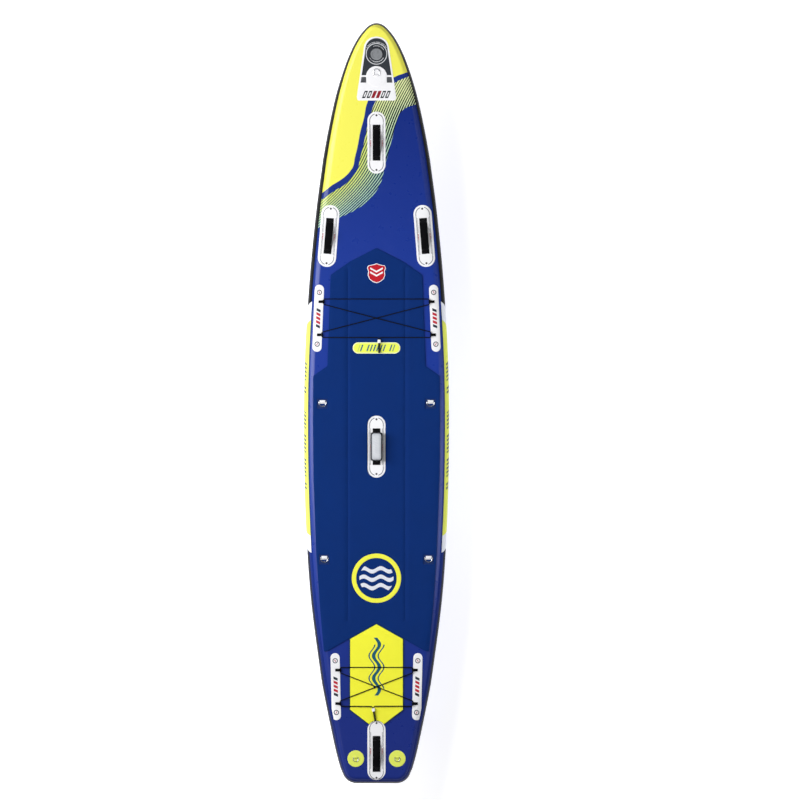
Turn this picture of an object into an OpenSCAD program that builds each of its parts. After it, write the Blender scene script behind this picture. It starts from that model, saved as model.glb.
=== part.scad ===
// Inflatable touring stand up paddleboard.
// Row frame: +Y to the nose, +X to starboard, +Z up. The origin is the middle of the flat bottom.

/* [Board] */
// Thickness of the inflated board, deck to bottom
board_t = 150; // [140:1:160]
// How far the nose rises over the front rocker
nose_rise = 190; // [160:1:210]
// How far the tail rises over the rear rocker
tail_rise = 30; // [15:1:40]
// Thickness of the coated fabric skins
skin_t = 1.3; // [1:0.1:2]
// Thickness of the glued side band
band_t = 1.2; // [0.8:0.1:2]
// Half depth of the round rail amidships
rail_b = 55; // [50:1:60]

/* [Deck fittings] */
// Thickness of the foam deck pads
pad_t = 5; // [4:0.5:6]
// Thickness of the glued patches
patch_t = 1.2; // [0.8:0.1:1.6]
// Width of the handle webbing
strap_w = 40; // [34:1:44]
// Thickness of the handle webbing
strap_t = 2.4; // [2:0.1:3]
// Rise of the flat carry handles at their middle
handle_rise = 18; // [14:1:24]
// Radius of the bungee cord
cord_r = 2.6; // [2.2:0.1:2.7]

/* [Fin] */
// Depth of the fin blade below its box
fin_depth = 230; // [180:5:260]

/* [Output] */
// Piece to draw, or all

/* [Hidden] */
$fn = 64;

// ---- hull: flat deck edge, stations and rocker ----
// Half width of the flat deck at points along the board, tip first: [y, half width].
deck_edge = [
    [1968, 0], [1940, 42], [1900, 70], [1800, 115], [1700, 146], [1600, 171], [1400, 207],
    [1200, 235], [1000, 261], [600, 299], [200, 321], [-200, 325], [-600, 316], [-1000, 291],
    [-1400, 240], [-1700, 193], [-1900, 155], [-1960, 128]
];
tip_y = deck_edge[0][0];
tail_y = -1963;
tail_corner_r = 43;
nose_b = 26;
tail_b = 32;
nose_b_run = 700;
tail_b_run = 500;
rail_power = 0.8;
half_t = board_t / 2;

rocker_front_y = 600;
rocker_rear_y = -1300;
nose_knots = [for (y = [rocker_front_y:100:2100]) y];
tail_knots = [-2100, -2000, -1900, -1800, -1700, -1400, -1300];
nose_run = 1995 - rocker_front_y;
tail_run = 1995 + rocker_rear_y;
// The deck and bottom are flat between knots, so glued pieces share their facets.
rocker_table = concat(
    [for (y = tail_knots) [y, tail_rise * pow((y - rocker_rear_y) / tail_run, 2)]],
    [for (y = nose_knots) [y, nose_rise * pow((y - rocker_front_y) / nose_run, 2)]]
);
function rocker(y) = lookup(y, rocker_table);
function deck_z(y) = rocker(y) + board_t;
function slope_deg(y) = atan((rocker(y + 1) - rocker(y - 1)) / 2);

function rail_depth(y) = min(
    nose_b + (rail_b - nose_b) * pow(min(1, max(0, (tip_y - y) / nose_b_run)), rail_power),
    tail_b + (rail_b - tail_b) * pow(min(1, max(0, (y - tail_y) / tail_b_run)), rail_power)
);

// The deck edge is a smooth curve in the root of the distance from the tip, which rounds the nose.
edge_t = [for (e = deck_edge) sqrt(tip_y - e[0])];
edge_n = len(deck_edge);
function edge_slope(k) =
    let (a = max(0, k - 1), b = min(edge_n - 1, k + 1))
    (deck_edge[b][1] - deck_edge[a][1]) / (edge_t[b] - edge_t[a]);
function edge_seg(t, k = 0) = (k >= edge_n - 2 || t < edge_t[k + 1]) ? k : edge_seg(t, k + 1);
function edge_at(t) =
    let (
        k = edge_seg(t),
        h = edge_t[k + 1] - edge_t[k],
        s = (t - edge_t[k]) / h,
        s2 = s * s,
        s3 = s2 * s
    )
    deck_edge[k][1] * (2 * s3 - 3 * s2 + 1) + deck_edge[k + 1][1] * (3 * s2 - 2 * s3)
        + h * edge_slope(k) * (s3 - 2 * s2 + s) + h * edge_slope(k + 1) * (s3 - s2);
function unit(v) = v / norm(v);
function side_point(y) =
    let (t = sqrt(tip_y - y), d = (edge_at(t + 0.05) - edge_at(t - 0.05)) / 0.1, n = unit([2 * t, d]))
    [edge_at(t), y, n.x, n.y, rail_depth(y)];

station_y = concat(
    [1968, 1964, 1955, 1940, 1920, 1900, 1850, 1800, 1750],
    [for (y = [1700:-100:600]) y],
    [for (y = [450:-150:-1200]) y],
    [-1300, -1400, -1550, -1700, -1800, -1900]
);
corner_x = edge_at(sqrt(tip_y - tail_y - tail_corner_r)) - tail_corner_r;
corner_angles = [-22, -39, -56, -73, -90];
side = concat(
    [for (y = station_y) side_point(y)],
    [
        for (a = corner_angles)
            [
                corner_x + tail_corner_r * cos(a),
                tail_y + tail_corner_r + tail_corner_r * sin(a),
                cos(a),
                sin(a),
                tail_b
            ]
    ]
);
side_n = len(side);
ring = concat(side, [for (i = [side_n - 1:-1:1]) let (e = side[i]) [-e[0], e[1], -e[2], e[3], e[4]]]);
ring_n = len(ring);

// A point of the hull at ring place k and rail angle a (90 is the deck's edge), h outside the skin.
function hull_point(k, a, h) =
    let (e = ring[k], out = (e[4] + h) * cos(a), y = e[1] + out * e[3])
    [e[0] + out * e[2], y, rocker(y) + half_t + (half_t + h) * sin(a)];

deck_angles = [90, 80, 69, 58, 52, 41, 30];
cover_angles = [90, 80, 69, 58];
band_angles = [52, 41, 30, 18, 6, -6, -18, -30, -41, -52];

function flip(f) = [for (i = [len(f) - 1:-1:0]) f[i]];
function quad(a, b, c, d) = [[a, b, c], [a, c, d]];
function join(lists) = [for (l = lists) each l];

// A closed sheet between two offsets of the hull, with or without the flat middle.
module hull_sheet(angles, h0, h1, capped, upside = 1) {
    m = len(angles);
    points = [
        for (h = [h1, h0], k = [0:ring_n - 1], a = angles) hull_point(k, upside * a, h)
    ];
    inner = ring_n * m;
    walls = join([
        for (k = [0:ring_n - 1], j = [0:m - 2])
            let (
                a = k * m + j,
                d = ((k + 1) % ring_n) * m + j,
                outside = k < side_n ? quad(a, a + 1, d + 1, d) : quad(a + 1, d + 1, d, a)
            )
            concat(outside, [for (f = outside) flip([for (i = f) i + inner])])
    ]);
    low_rim = join([
        for (k = [0:ring_n - 1])
            let (a = k * m + m - 1, d = ((k + 1) % ring_n) * m + m - 1)
            quad(a, a + inner, d + inner, d)
    ]);
    high_rim = join([
        for (k = [0:ring_n - 1])
            let (a = k * m, d = ((k + 1) % ring_n) * m)
            quad(a, d, d + inner, a + inner)
    ]);
    caps = join([
        for (i = [0:side_n - 2])
            let (
                a = i * m,
                b = (i + 1) * m,
                c = (ring_n - i - 1) * m,
                d = (ring_n - i) * m,
                outside = i == 0 ? [[a, b, c]] : quad(a, b, c, d)
            )
            concat(outside, [for (f = outside) flip([for (p = f) p + inner])])
    ]);
    faces = concat(walls, low_rim, capped ? caps : high_rim);
    polyhedron(points, upside > 0 ? faces : [for (f = faces) flip(f)], convexity = 6);
}

// ---- helpers for pieces glued on the deck ----
layer_reach = 500;
module cover(h0, h1, upside = 1) {
    intersection() {
        hull_sheet(cover_angles, h0, h1, true, upside);
        translate([0, 0, -layer_reach])
            linear_extrude(2 * layer_reach)
                children();
    }
}
module on_deck(x, y, turn = 0) {
    translate([x, y, deck_z(y)])
        rotate([slope_deg(y), 0, 0])
            rotate([0, 0, turn])
                children();
}
module both_sides() {
    children();
    mirror([1, 0, 0])
        children();
}
// A starboard outline, from the centreline to the centreline, made whole with its mirror image.
function whole(p) = concat(p, [for (i = [len(p) - 1:-1:0]) if (p[i].x != 0) [-p[i].x, p[i].y]]);
module stadium(w, l) {
    square([w, l - w], center = true);
    for (s = [-1, 1])
        translate([0, s * (l - w) / 2])
            circle(d = w);
}
module rounded(w, l, r) {
    square([w - 2 * r, l], center = true);
    square([w, l - 2 * r], center = true);
    for (x = [-1, 1], y = [-1, 1])
        translate([x * (w / 2 - r), y * (l / 2 - r)])
            circle(r);
}

// ---- places of the deck fittings ----
nose_handle_y = 1367;
shoulder_x = 251;
shoulder_y = 877;
shoulder_turn = 4.5;
centre_handle_y = -229;
tail_handle_y = -1824;
tail_strap_y = -1842;
handle_patch_w = 95;
handle_patch_l = 326;
tail_patch_l = 310;
strap_l = 188;
strap_foot = 26;

front_strip = [306, 445];
front_strip_turn = 2.4;
rear_strip = [214, -1489];
rear_strip_turn = -1.3;
strip_w = 48;
strip_l = 352;

// Webbing loops that hold the bungee: [x of the tunnel, y].
front_loops = [[280, 532], [288, 358]];
rear_loops = [[192, -1402], [192, -1578]];
loop_l = 14;
loop_flap = 19;
loop_web = 1.3;
loop_r = 5.3;
loop_lift = 0.2;
loop_z = patch_t + loop_web + loop_r;

deck_rings = [[284, 6], [274, -812]];
tail_rings = [[109, -1861]];
nose_ring_y = 1722;
nose_ring_patch_y = 1714;
valve_y = 1833;

emblem_y = -920;
emblem_r = 130;
emblem_inner_r = 106;
pill_y = 289;
badge_y = 682;

// ---- hull pieces ----
module deck_skin() {
    color("royalblue")
        difference() {
            hull_sheet(deck_angles, -skin_t, 0, true);
            on_deck(0, valve_y)
                cylinder(r = barrel_r + 0.5, h = 40, center = true);
        }
}
module bottom_skin() {
    color("royalblue")
        hull_sheet(deck_angles, -skin_t, 0, true, -1);
}
module rail_band() {
    color("gold")
        hull_sheet(band_angles, 0, band_t, false);
}
module seam_tapes() {
    color("lightsteelblue") {
        hull_sheet([58, 52], 0, band_t, false);
        hull_sheet([58, 52], 0, band_t, false, -1);
    }
}
yarn_r = 0.4;
yarn_step_x = 80;
yarn_step_y = 150;
yarn_rows = [for (y = [-1875:yarn_step_y:1800]) y];
module drop_stitch_yarns() {
    color("whitesmoke")
        for (y = yarn_rows) {
            reach = floor((edge_at(sqrt(tip_y - y)) - 12) / yarn_step_x);
            for (i = [-reach:reach])
                translate([i * yarn_step_x, y, rocker(y) + skin_t])
                    cylinder(r = yarn_r, h = board_t - 2 * skin_t);
        }
}

// ---- deck pads ----
pad_window_w = 54;
pad_window = [-36, 16];
// Starboard outline of the main pad from its front peak to the tail pad.
pad_side = [
    [0, 814], [139, 743], [241, 672], [258, 194], [333, 142], [334, -100], [331, -400],
    [316, -800], [295, -1100], [276, -1306], [250, -1299], [144, -1238], [0, -1157]
];
module pill_outline() {
    translate([0, pill_y])
        rotate(90)
            stadium(60, 251);
}
wave_step = 7;
wave_reach = 98;
function wave(x) = 9 * sin(4 * x);
module wave_marks() {
    intersection() {
        circle(emblem_inner_r - 16);
        for (y = [-44, 0, 44])
            translate([0, y])
                polygon(concat(
                    [for (x = [-wave_reach:wave_step:wave_reach]) [x, wave(x) + 11]],
                    [for (x = [wave_reach:-wave_step:-wave_reach]) [x, wave(x) - 11]]
                ));
    }
}
module main_pad_outline() {
    difference() {
        polygon(whole(pad_side));
        translate([0, centre_handle_y])
            stadium(handle_patch_w + 1, handle_patch_l + 1);
        pill_outline();
        translate([0, emblem_y]) {
            difference() {
                circle(emblem_r);
                circle(emblem_inner_r);
            }
            wave_marks();
        }
        both_sides()
            for (p = deck_rings)
                translate([p.x - pad_window_w / 2, p.y + pad_window[0]])
                    square([pad_window_w, pad_window[1] - pad_window[0]]);
    }
}
module main_deck_pad() {
    color("midnightblue")
        cover(0, pad_t)
            main_pad_outline();
}
hexagon = [[0, -1157], [142, -1237], [142, -1612], [0, -1720]];
module tail_deck_pad() {
    color("yellow")
        cover(0, pad_t)
            difference() {
                polygon(whole(hexagon));
                translate([0, tail_handle_y])
                    stadium(handle_patch_w + 3, tail_patch_l + 3);
            }
}
module flat_inlay(y) {
    translate([0, y, board_t])
        linear_extrude(pad_t)
            children();
}
module emblem_ring() {
    color("yellow")
        flat_inlay(emblem_y)
            difference() {
                circle(emblem_r);
                circle(emblem_inner_r);
            }
}
module emblem_waves() {
    color("white")
        flat_inlay(emblem_y)
            wave_marks();
}
module name_pill() {
    color("yellow")
        flat_inlay(0)
            pill_outline();
}
badge_side = [[0, 52], [14, 46], [44, 40], [50, 26], [43, 10], [46, -10], [38, -32], [20, -46], [0, -53]];
module shield_badge() {
    color("firebrick")
        cover(pad_t, pad_t + 1)
            translate([0, badge_y])
                polygon(whole(badge_side));
}

// ---- patches ----
nose_patch_side = [[0, 1925], [30, 1919], [52, 1903], [64, 1880], [104, 1604], [98, 1588], [0, 1588]];
module nose_patch() {
    color("white")
        difference() {
            cover(0, patch_t)
                polygon(whole(nose_patch_side));
            on_deck(0, valve_y)
                cylinder(r = barrel_r + 0.5, h = 40, center = true);
        }
}
module nose_ring_patch() {
    color("white")
        cover(patch_t, 2 * patch_t)
            translate([0, nose_ring_patch_y])
                circle(55);
}
module handle_patch(x, y, l, turn = 0) {
    color("white")
        cover(0, patch_t)
            translate([x, y])
                rotate(turn)
                    stadium(handle_patch_w, l);
}
module nose_handle_patch() {
    handle_patch(0, nose_handle_y, handle_patch_l);
}
module shoulder_handle_patches() {
    both_sides()
        handle_patch(shoulder_x, shoulder_y, handle_patch_l, shoulder_turn);
}
module centre_handle_patch() {
    color("white")
        translate([0, centre_handle_y, board_t])
            linear_extrude(patch_t)
                stadium(handle_patch_w, handle_patch_l);
}
module tail_handle_patch() {
    handle_patch(0, tail_handle_y, tail_patch_l);
}

// ---- carry handles ----
strap_lift = patch_t + 1;
// A strip w wide along X whose side view is the band between z and z + t over the points [y, z].
module side_band(line, w, t) {
    rotate([90, 0, 90])
        linear_extrude(w, center = true)
            polygon(concat(line, [for (i = [len(line) - 1:-1:0]) [line[i].x, line[i].y + t]]));
}
module strap_feet(l) {
    for (s = [-1, 1])
        translate([0, s * (l - strap_foot) / 2])
            square([strap_w, strap_foot], center = true);
}
arch_steps = 18;
arch_inset = 0.3;
module flat_handle(x, y, turn = 0) {
    span = strap_l - 2 * strap_foot + 16;
    color("black") {
        cover(patch_t, patch_t + strap_t)
            translate([x, y])
                rotate(turn)
                    strap_feet(strap_l);
        on_deck(x, y, turn)
            side_band(
                [
                    for (i = [-arch_steps:arch_steps])
                        let (s = i / arch_steps)
                        [s * span / 2, strap_lift + handle_rise * (1 + cos(180 * s)) / 2]
                ],
                strap_w - 2 * arch_inset,
                strap_t
            );
    }
}
module nose_handle_strap() {
    flat_handle(0, nose_handle_y);
}
module shoulder_handle_straps() {
    both_sides()
        flat_handle(shoulder_x, shoulder_y, shoulder_turn);
}
module tail_handle_strap() {
    flat_handle(0, tail_strap_y);
}
grip_z = 38;
leg_line = [[96, 0], [79, 0], [74, 4], [70, 30], [65, 36.8]];
module centre_handle_strap() {
    line = concat(
        [for (p = leg_line) [-p.x, p.y + patch_t]],
        [for (i = [len(leg_line) - 1:-1:0]) [leg_line[i].x, leg_line[i].y + patch_t]]
    );
    color("black")
        translate([0, centre_handle_y, board_t])
            side_band(line, strap_w, strap_t);
}
wrap_w = 63;
wrap_l = 152;
wrap_low = 34;
wrap_high = 44;
grip_w = 53;
grip_l = 142;
grip_high = 55;
module centre_grip_wrap() {
    color("black")
        difference() {
            translate([0, centre_handle_y, board_t + wrap_low])
                linear_extrude(wrap_high - wrap_low)
                    rounded(wrap_w, wrap_l, 14);
            centre_handle_strap();
        }
}
module centre_grip_pad() {
    color("silver")
        translate([0, centre_handle_y, board_t + wrap_high]) {
            linear_extrude(7)
                rounded(grip_w, grip_l, 12);
            translate([0, 0, 7])
                linear_extrude(grip_high - wrap_high - 7)
                    rounded(grip_w - 8, grip_l - 8, 10);
        }
}

// ---- bungee ----
module strips(p, turn) {
    color("white")
        both_sides()
            cover(0, patch_t)
                translate(p)
                    rotate(turn)
                        stadium(strip_w, strip_l);
}
module front_bungee_strips() {
    strips(front_strip, front_strip_turn);
}
module rear_bungee_strips() {
    strips(rear_strip, rear_strip_turn);
}
module loops(places) {
    color("black")
        both_sides()
            for (p = places)
                on_deck(p.x, p.y)
                    difference() {
                        union() {
                            translate([0, -loop_l / 2, patch_t + loop_lift])
                                cube([loop_r + loop_flap, loop_l, loop_web]);
                            translate([0, 0, loop_z + loop_lift])
                                rotate([90, 0, 0])
                                    cylinder(r = loop_r + loop_web, h = loop_l, center = true);
                        }
                        translate([0, 0, loop_z + loop_lift])
                            rotate([90, 0, 0])
                                cylinder(r = loop_r, h = loop_l + 1, center = true);
                    }
}
module front_bungee_loops() {
    loops(front_loops);
}
module rear_bungee_loops() {
    loops(rear_loops);
}

// A round tube along the points, none of them vertical to the next.
module tube(points, r, sides) {
    n = len(points);
    verts = [
        for (i = [0:n - 1])
            let (
                t = unit(points[min(n - 1, i + 1)] - points[max(0, i - 1)]),
                u = unit(cross([0, 0, 1], t)),
                v = cross(t, u)
            )
            for (k = [0:sides - 1])
                points[i] + r * (cos(360 * k / sides) * u + sin(360 * k / sides) * v)
    ];
    walls = join([
        for (i = [0:n - 2], k = [0:sides - 1])
            let (a = i * sides + k, b = i * sides + (k + 1) % sides)
            quad(a, a + sides, b + sides, b)
    ]);
    ends = [[for (k = [0:sides - 1]) k], [for (k = [sides - 1:-1:0]) (n - 1) * sides + k]];
    polyhedron(verts, concat(walls, ends), convexity = 10);
}
// The points of a corner p of the line a, p, b, rounded to radius r.
function corner(a, p, b, r) =
    let (
        u = unit(a - p),
        v = unit(b - p),
        half = acos(u * v) / 2,
        reach = r / tan(half),
        middle = p + unit(u + v) * (r / sin(half)),
        from = p + u * reach - middle,
        to = p + v * reach - middle,
        turn = 180 - 2 * half
    )
    turn < 12 ? [p]
        : [for (s = [0:0.25:1]) middle + (sin((1 - s) * turn) * from + sin(s * turn) * to) / sin(turn)];
function rounded_line(p, r) = join([
    for (i = [0:len(p) - 1])
        i == 0 || i == len(p) - 1 ? [p[i]] : corner(p[i - 1], p[i], p[i + 1], r)
]);

cord_bend = 10.6;
loop_over = loop_l / 2 + 7;
cord_in = 0.6;
lock_up = 20;
lock_h = 13;
lock_pitch = 2.75;
tail_len = 60;
crossing_lift = 6;
function above(x, y, h) = [x, y, deck_z(y) + h];
// A point of a lock's own plane, (a, b) from its middle, at the cord's height.
function lock_point(lock, a, b) =
    above(
        lock.x + a * cos(lock.z) - b * sin(lock.z),
        lock.y + a * sin(lock.z) + b * cos(lock.z),
        lock_h
    );
// Both cord ends hang through the lock; between them the cord goes round the four loops and crosses.
function bungee_line(places, lock) =
    let (
        t = places[0] - [cord_in, 0],
        b = places[1] - [cord_in, 0],
        e = loop_over,
        z = loop_z
    )
    [
        lock_point(lock, -lock_pitch, -tail_len),
        lock_point(lock, -lock_pitch, lock_up),
        above(-b.x, b.y - e, z),
        above(-b.x, b.y + e, z),
        above(t.x, t.y - e, z),
        above(t.x, t.y + e, z),
        above(-t.x, t.y + e, z),
        above(-t.x, t.y - e, z),
        above(0, (t.y + b.y) / 2, z + crossing_lift),
        above(b.x, b.y + e, z),
        above(b.x, b.y - e, z),
        lock_point(lock, lock_pitch, lock_up),
        lock_point(lock, lock_pitch, -tail_len)
    ];
// Each lock: [x, y, turn].
front_lock = [14, front_loops[1].y - loop_over - lock_up, 0];
rear_lock = [-16, rear_loops[1].y - loop_over - lock_up, 10];
module bungee_cord(places, lock) {
    color("black")
        tube(rounded_line(bungee_line(places, lock), cord_bend), cord_r, 8);
}
module front_bungee_cord() {
    bungee_cord(front_loops, front_lock);
}
module rear_bungee_cord() {
    bungee_cord(rear_loops, rear_lock);
}

// ---- cord locks: an upright barrel with a sprung button and a slot for both cords ----
lock_low = 5.6;
lock_high = 20;
lock_wall = 1.1;
button_r = 6.9;
button_gap = 0.05;
button_top = 22.6;
button_low = 9.2;
slot_half_w = 5.75;
slot_half_h = 2.9;
button_travel = 1.5;
module at_lock(lock) {
    on_deck(lock.x, lock.y, lock.z)
        children();
}
module lock_slot(extra) {
    translate([-slot_half_w, -15, lock_h - slot_half_h])
        cube([2 * slot_half_w, 30, 2 * slot_half_h + extra]);
}
module lock_barrel(lock) {
    color("white")
        at_lock(lock)
            difference() {
                translate([0, 0, lock_low])
                    linear_extrude(lock_high - lock_low)
                        rounded(17, 18, 6);
                translate([0, 0, lock_low + lock_wall])
                    cylinder(r = button_r, h = 30);
                lock_slot(0);
            }
}
module lock_button(lock) {
    color("white")
        at_lock(lock)
            difference() {
                translate([0, 0, button_low])
                    cylinder(r = button_r - button_gap, h = button_top - button_low);
                lock_slot(button_travel);
            }
}
spring_sides = 6;
module coil(r, wire_r, low, high, turns) {
    steps = 10 * turns;
    tube(
        [
            for (i = [0:steps])
                let (a = 36 * i)
                [r * cos(a), r * sin(a), low + wire_r + (high - low - 2 * wire_r) * i / steps]
        ],
        wire_r,
        spring_sides
    );
}
module lock_spring(lock) {
    color("silver")
        at_lock(lock)
            coil(4.6, 0.35, lock_low + lock_wall + 0.05, button_low - 0.05, 1.5);
}
module front_lock_barrel() {
    lock_barrel(front_lock);
}
module front_lock_button() {
    lock_button(front_lock);
}
module front_lock_spring() {
    lock_spring(front_lock);
}
module rear_lock_barrel() {
    lock_barrel(rear_lock);
}
module rear_lock_button() {
    lock_button(rear_lock);
}
module rear_lock_spring() {
    lock_spring(rear_lock);
}

// ---- D-rings ----
tab_web = 1.3;
pin_gap = 0.05;
ring_tilt = 1.6;
// Half width and length along the wire's middle, and wire radius.
deck_ring = [19, 24, 2];
tail_ring = [13, 22, 1.8];
nose_ring = [16, 34, 2.2];
ring_bend = 3.4;
function axis_h(kind, base) = base + kind[2] + pin_gap + tab_web;
module ring_patch(x, y, r, h0, h1) {
    cover(h0, h1)
        translate([x, y])
            circle(r);
}
module ring_tab(kind, base) {
    r = kind[2] + pin_gap;
    half = kind[0] - ring_bend - 0.5;
    difference() {
        union() {
            translate([-half, -9, base + 0.05])
                cube([2 * half, 18, tab_web]);
            translate([0, 0, axis_h(kind, base)])
                rotate([0, 90, 0])
                    cylinder(r = r + tab_web, h = 2 * half, center = true);
        }
        translate([0, 0, axis_h(kind, base)])
            rotate([0, 90, 0])
                cylinder(r = r, h = 2 * half + 1, center = true);
    }
}
module d_ring(kind) {
    w = kind[0];
    r = kind[2];
    leg = kind[1] - kind[0];
    rotate([0, 90, 0])
        cylinder(r = r, h = 2 * (w - ring_bend), center = true);
    both_sides() {
        translate([w - ring_bend, -ring_bend])
            rotate_extrude(angle = 90)
                translate([ring_bend, 0])
                    circle(r);
        translate([w, -ring_bend])
            rotate([90, 0, 0])
                cylinder(r = r, h = leg - ring_bend);
    }
    translate([0, -leg])
        rotate([0, 0, 180])
            rotate_extrude(angle = 180)
                translate([w, 0])
                    circle(r);
}
module lying_ring(x, y, kind, base, turn = 0) {
    color("lightgray")
        on_deck(x, y)
            translate([0, 0, axis_h(kind, base)])
                rotate([0, 0, turn])
                    rotate([ring_tilt, 0, 0])
                        d_ring(kind);
}
module deck_ring_patches() {
    color("midnightblue")
        both_sides()
            for (p = deck_rings)
                translate([p.x, p.y - 10, board_t])
                    linear_extrude(patch_t)
                        square([pad_window_w - 1, pad_window[1] - pad_window[0] - 1], center = true);
}
module deck_ring_tabs() {
    color("white")
        both_sides()
            for (p = deck_rings)
                on_deck(p.x, p.y)
                    ring_tab(deck_ring, patch_t);
}
module tail_ring_patches() {
    color("yellow")
        both_sides()
            for (p = tail_rings)
                ring_patch(p.x, p.y - 6, 43.5, 0, patch_t);
}
module tail_ring_tabs() {
    color("yellow")
        both_sides()
            for (p = tail_rings)
                on_deck(p.x, p.y)
                    ring_tab(tail_ring, patch_t);
}
module nose_ring_tab() {
    color("white")
        on_deck(0, nose_ring_y)
            ring_tab(nose_ring, 2 * patch_t);
}
module nose_d_ring() {
    lying_ring(0, nose_ring_y, nose_ring, 2 * patch_t, 180);
}
module deck_d_ring_front_port() {
    lying_ring(-deck_rings[0].x, deck_rings[0].y, deck_ring, patch_t);
}
module deck_d_ring_front_starboard() {
    lying_ring(deck_rings[0].x, deck_rings[0].y, deck_ring, patch_t);
}
module deck_d_ring_rear_port() {
    lying_ring(-deck_rings[1].x, deck_rings[1].y, deck_ring, patch_t);
}
module deck_d_ring_rear_starboard() {
    lying_ring(deck_rings[1].x, deck_rings[1].y, deck_ring, patch_t);
}
module tail_d_ring_port() {
    lying_ring(-tail_rings[0].x, tail_rings[0].y, tail_ring, patch_t);
}
module tail_d_ring_starboard() {
    lying_ring(tail_rings[0].x, tail_rings[0].y, tail_ring, patch_t);
}

// ---- inflation valve, drawn about its own axis with z = 0 at the deck skin ----
barrel_r = 28.5;
flange_r = 34;
flange_low = 1.25;
flange_high = 4;
recess_r = 24.5;
recess_low = -9;
air_r = 18;
seat_r = 12;
seat_low = -22;
seat_high = -20;
groove_r = 27;
lug_groove = [-5.2, -0.6];
hub_r = 5;
hub_high = -13;
stem_r = 2.5;
module at_valve() {
    on_deck(0, valve_y)
        children();
}
module valve_body() {
    color("dimgray")
        at_valve() {
            difference() {
                rotate_extrude()
                    polygon([
                        [recess_r, flange_high], [flange_r - 1, flange_high], [flange_r, flange_high - 1],
                        [flange_r, flange_low], [barrel_r, flange_low], [barrel_r, seat_low],
                        [seat_r, seat_low], [seat_r, seat_high], [air_r, seat_high],
                        [air_r, recess_low], [recess_r, recess_low], [recess_r, lug_groove[0]],
                        [groove_r, lug_groove[0]], [groove_r, lug_groove[1]], [recess_r, lug_groove[1]]
                    ]);
                for (s = [-1, 1])
                    translate([-7.4, s > 0 ? 0 : -groove_r + 0.5, lug_groove[1] - 1])
                        cube([14.8, groove_r - 0.5, 8]);
            }
            difference() {
                union() {
                    translate([0, 0, seat_high])
                        cylinder(r = hub_r, h = hub_high - seat_high);
                    for (a = [0, 120, 240])
                        rotate([0, 0, a])
                            translate([0, -1.25, seat_high])
                                cube([air_r + 0.5, 2.5, 3]);
                }
                translate([0, 0, seat_high - 1])
                    cylinder(r = stem_r + pin_gap, h = 12);
            }
        }
}
module valve_nut() {
    color("dimgray")
        at_valve()
            translate([0, 0, -6.4])
                difference() {
                    cylinder(r = 37, h = 5);
                    translate([0, 0, -1])
                        cylinder(r = barrel_r + 0.1, h = 7);
                    for (a = [0:60:300])
                        rotate([0, 0, a])
                            translate([37, 0, -1])
                                cylinder(r = 3.5, h = 7);
                }
}
cap_r = 31;
cap_low = 5.2;
cap_high = 9.6;
plug_r = 23.9;
module valve_cap() {
    color("gray")
        at_valve()
            difference() {
                union() {
                    translate([0, 0, cap_low])
                        cylinder(r = cap_r, h = cap_high - cap_low);
                    translate([0, 0, -7.5])
                        cylinder(r = plug_r, h = cap_low + 7.6);
                    intersection() {
                        translate([0, 0, -4.6])
                            cylinder(r = 26.2, h = 2);
                        cube([60, 13, 20], center = true);
                    }
                }
                translate([0, 0, -8])
                    cylinder(r = 20, h = 11.5);
                for (a = [0:15:345])
                    rotate([0, 0, a])
                        translate([cap_r + 0.6, 0, cap_low - 1])
                            cylinder(r = 1.5, h = 8);
                difference() {
                    translate([0, 0, cap_high - 2.4])
                        cylinder(r = 23, h = 4);
                    cube([11, 60, 40], center = true);
                }
            }
}
module valve_cap_gasket() {
    color("black")
        at_valve()
            translate([0, 0, flange_high + 0.05])
                difference() {
                    cylinder(r = 29, h = cap_low - flange_high - 0.1);
                    translate([0, 0, -1])
                        cylinder(r = 24.8, h = 4);
                }
}
module valve_stem() {
    color("gainsboro")
        at_valve() {
            translate([0, 0, -26])
                cylinder(r = 4, h = 1.3);
            translate([0, 0, -25])
                cylinder(r = stem_r, h = 22);
            translate([0, 0, -4])
                cylinder(r = 7.5, h = 2.5);
        }
}
module valve_diaphragm() {
    color("black")
        at_valve()
            translate([0, 0, -24.6])
                difference() {
                    cylinder(r = 14.5, h = 2.5);
                    translate([0, 0, -1])
                        cylinder(r = stem_r + pin_gap, h = 5);
                }
}
module valve_spring() {
    color("silver")
        at_valve()
            coil(4.2, 0.45, hub_high + 0.05, -4.05, 3);
}

// ---- fin box and fin, drawn about the box's middle with z = 0 at the bottom skin ----
fin_y = -1550;
box_l = 276;
slot_l = 252;
fin_patch_t = 2;
box_low = -27;
slot_high = -7;
pin_groove = [-17.8, -12.9];
tab_l = 166;
tab_t = 9.3;
pin_z = -15.4;
screw_y = 96;
blade_top = -27.5;
module at_fin() {
    translate([0, fin_y, rocker(fin_y)])
        rotate([slope_deg(fin_y), 0, 0])
            children();
}
module fin_box_patch() {
    color("royalblue")
        cover(0, fin_patch_t, -1)
            translate([0, fin_y])
                stadium(112, 350);
}
module block(w, l, low, high) {
    translate([-w / 2, -l / 2, low])
        cube([w, l, high - low]);
}
module fin_box() {
    color("black")
        at_fin()
            difference() {
                union() {
                    translate([0, 0, -fin_patch_t - 3.05])
                        linear_extrude(3)
                            rounded(58, 298, 12);
                    translate([0, 0, box_low])
                        linear_extrude(-box_low - fin_patch_t - 2)
                            rounded(24, box_l, 8);
                }
                block(tab_t + 0.6, slot_l, box_low - 1, slot_high);
                block(16, slot_l, pin_groove[0], pin_groove[1]);
            }
}
function lead(u) = 85 - 205 * pow(u, 1.6);
function trail(u) = -85 + 24 * sin(180 * u) - 27 * u * u;
blade_rings = 13;
blade_sides = 12;
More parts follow.
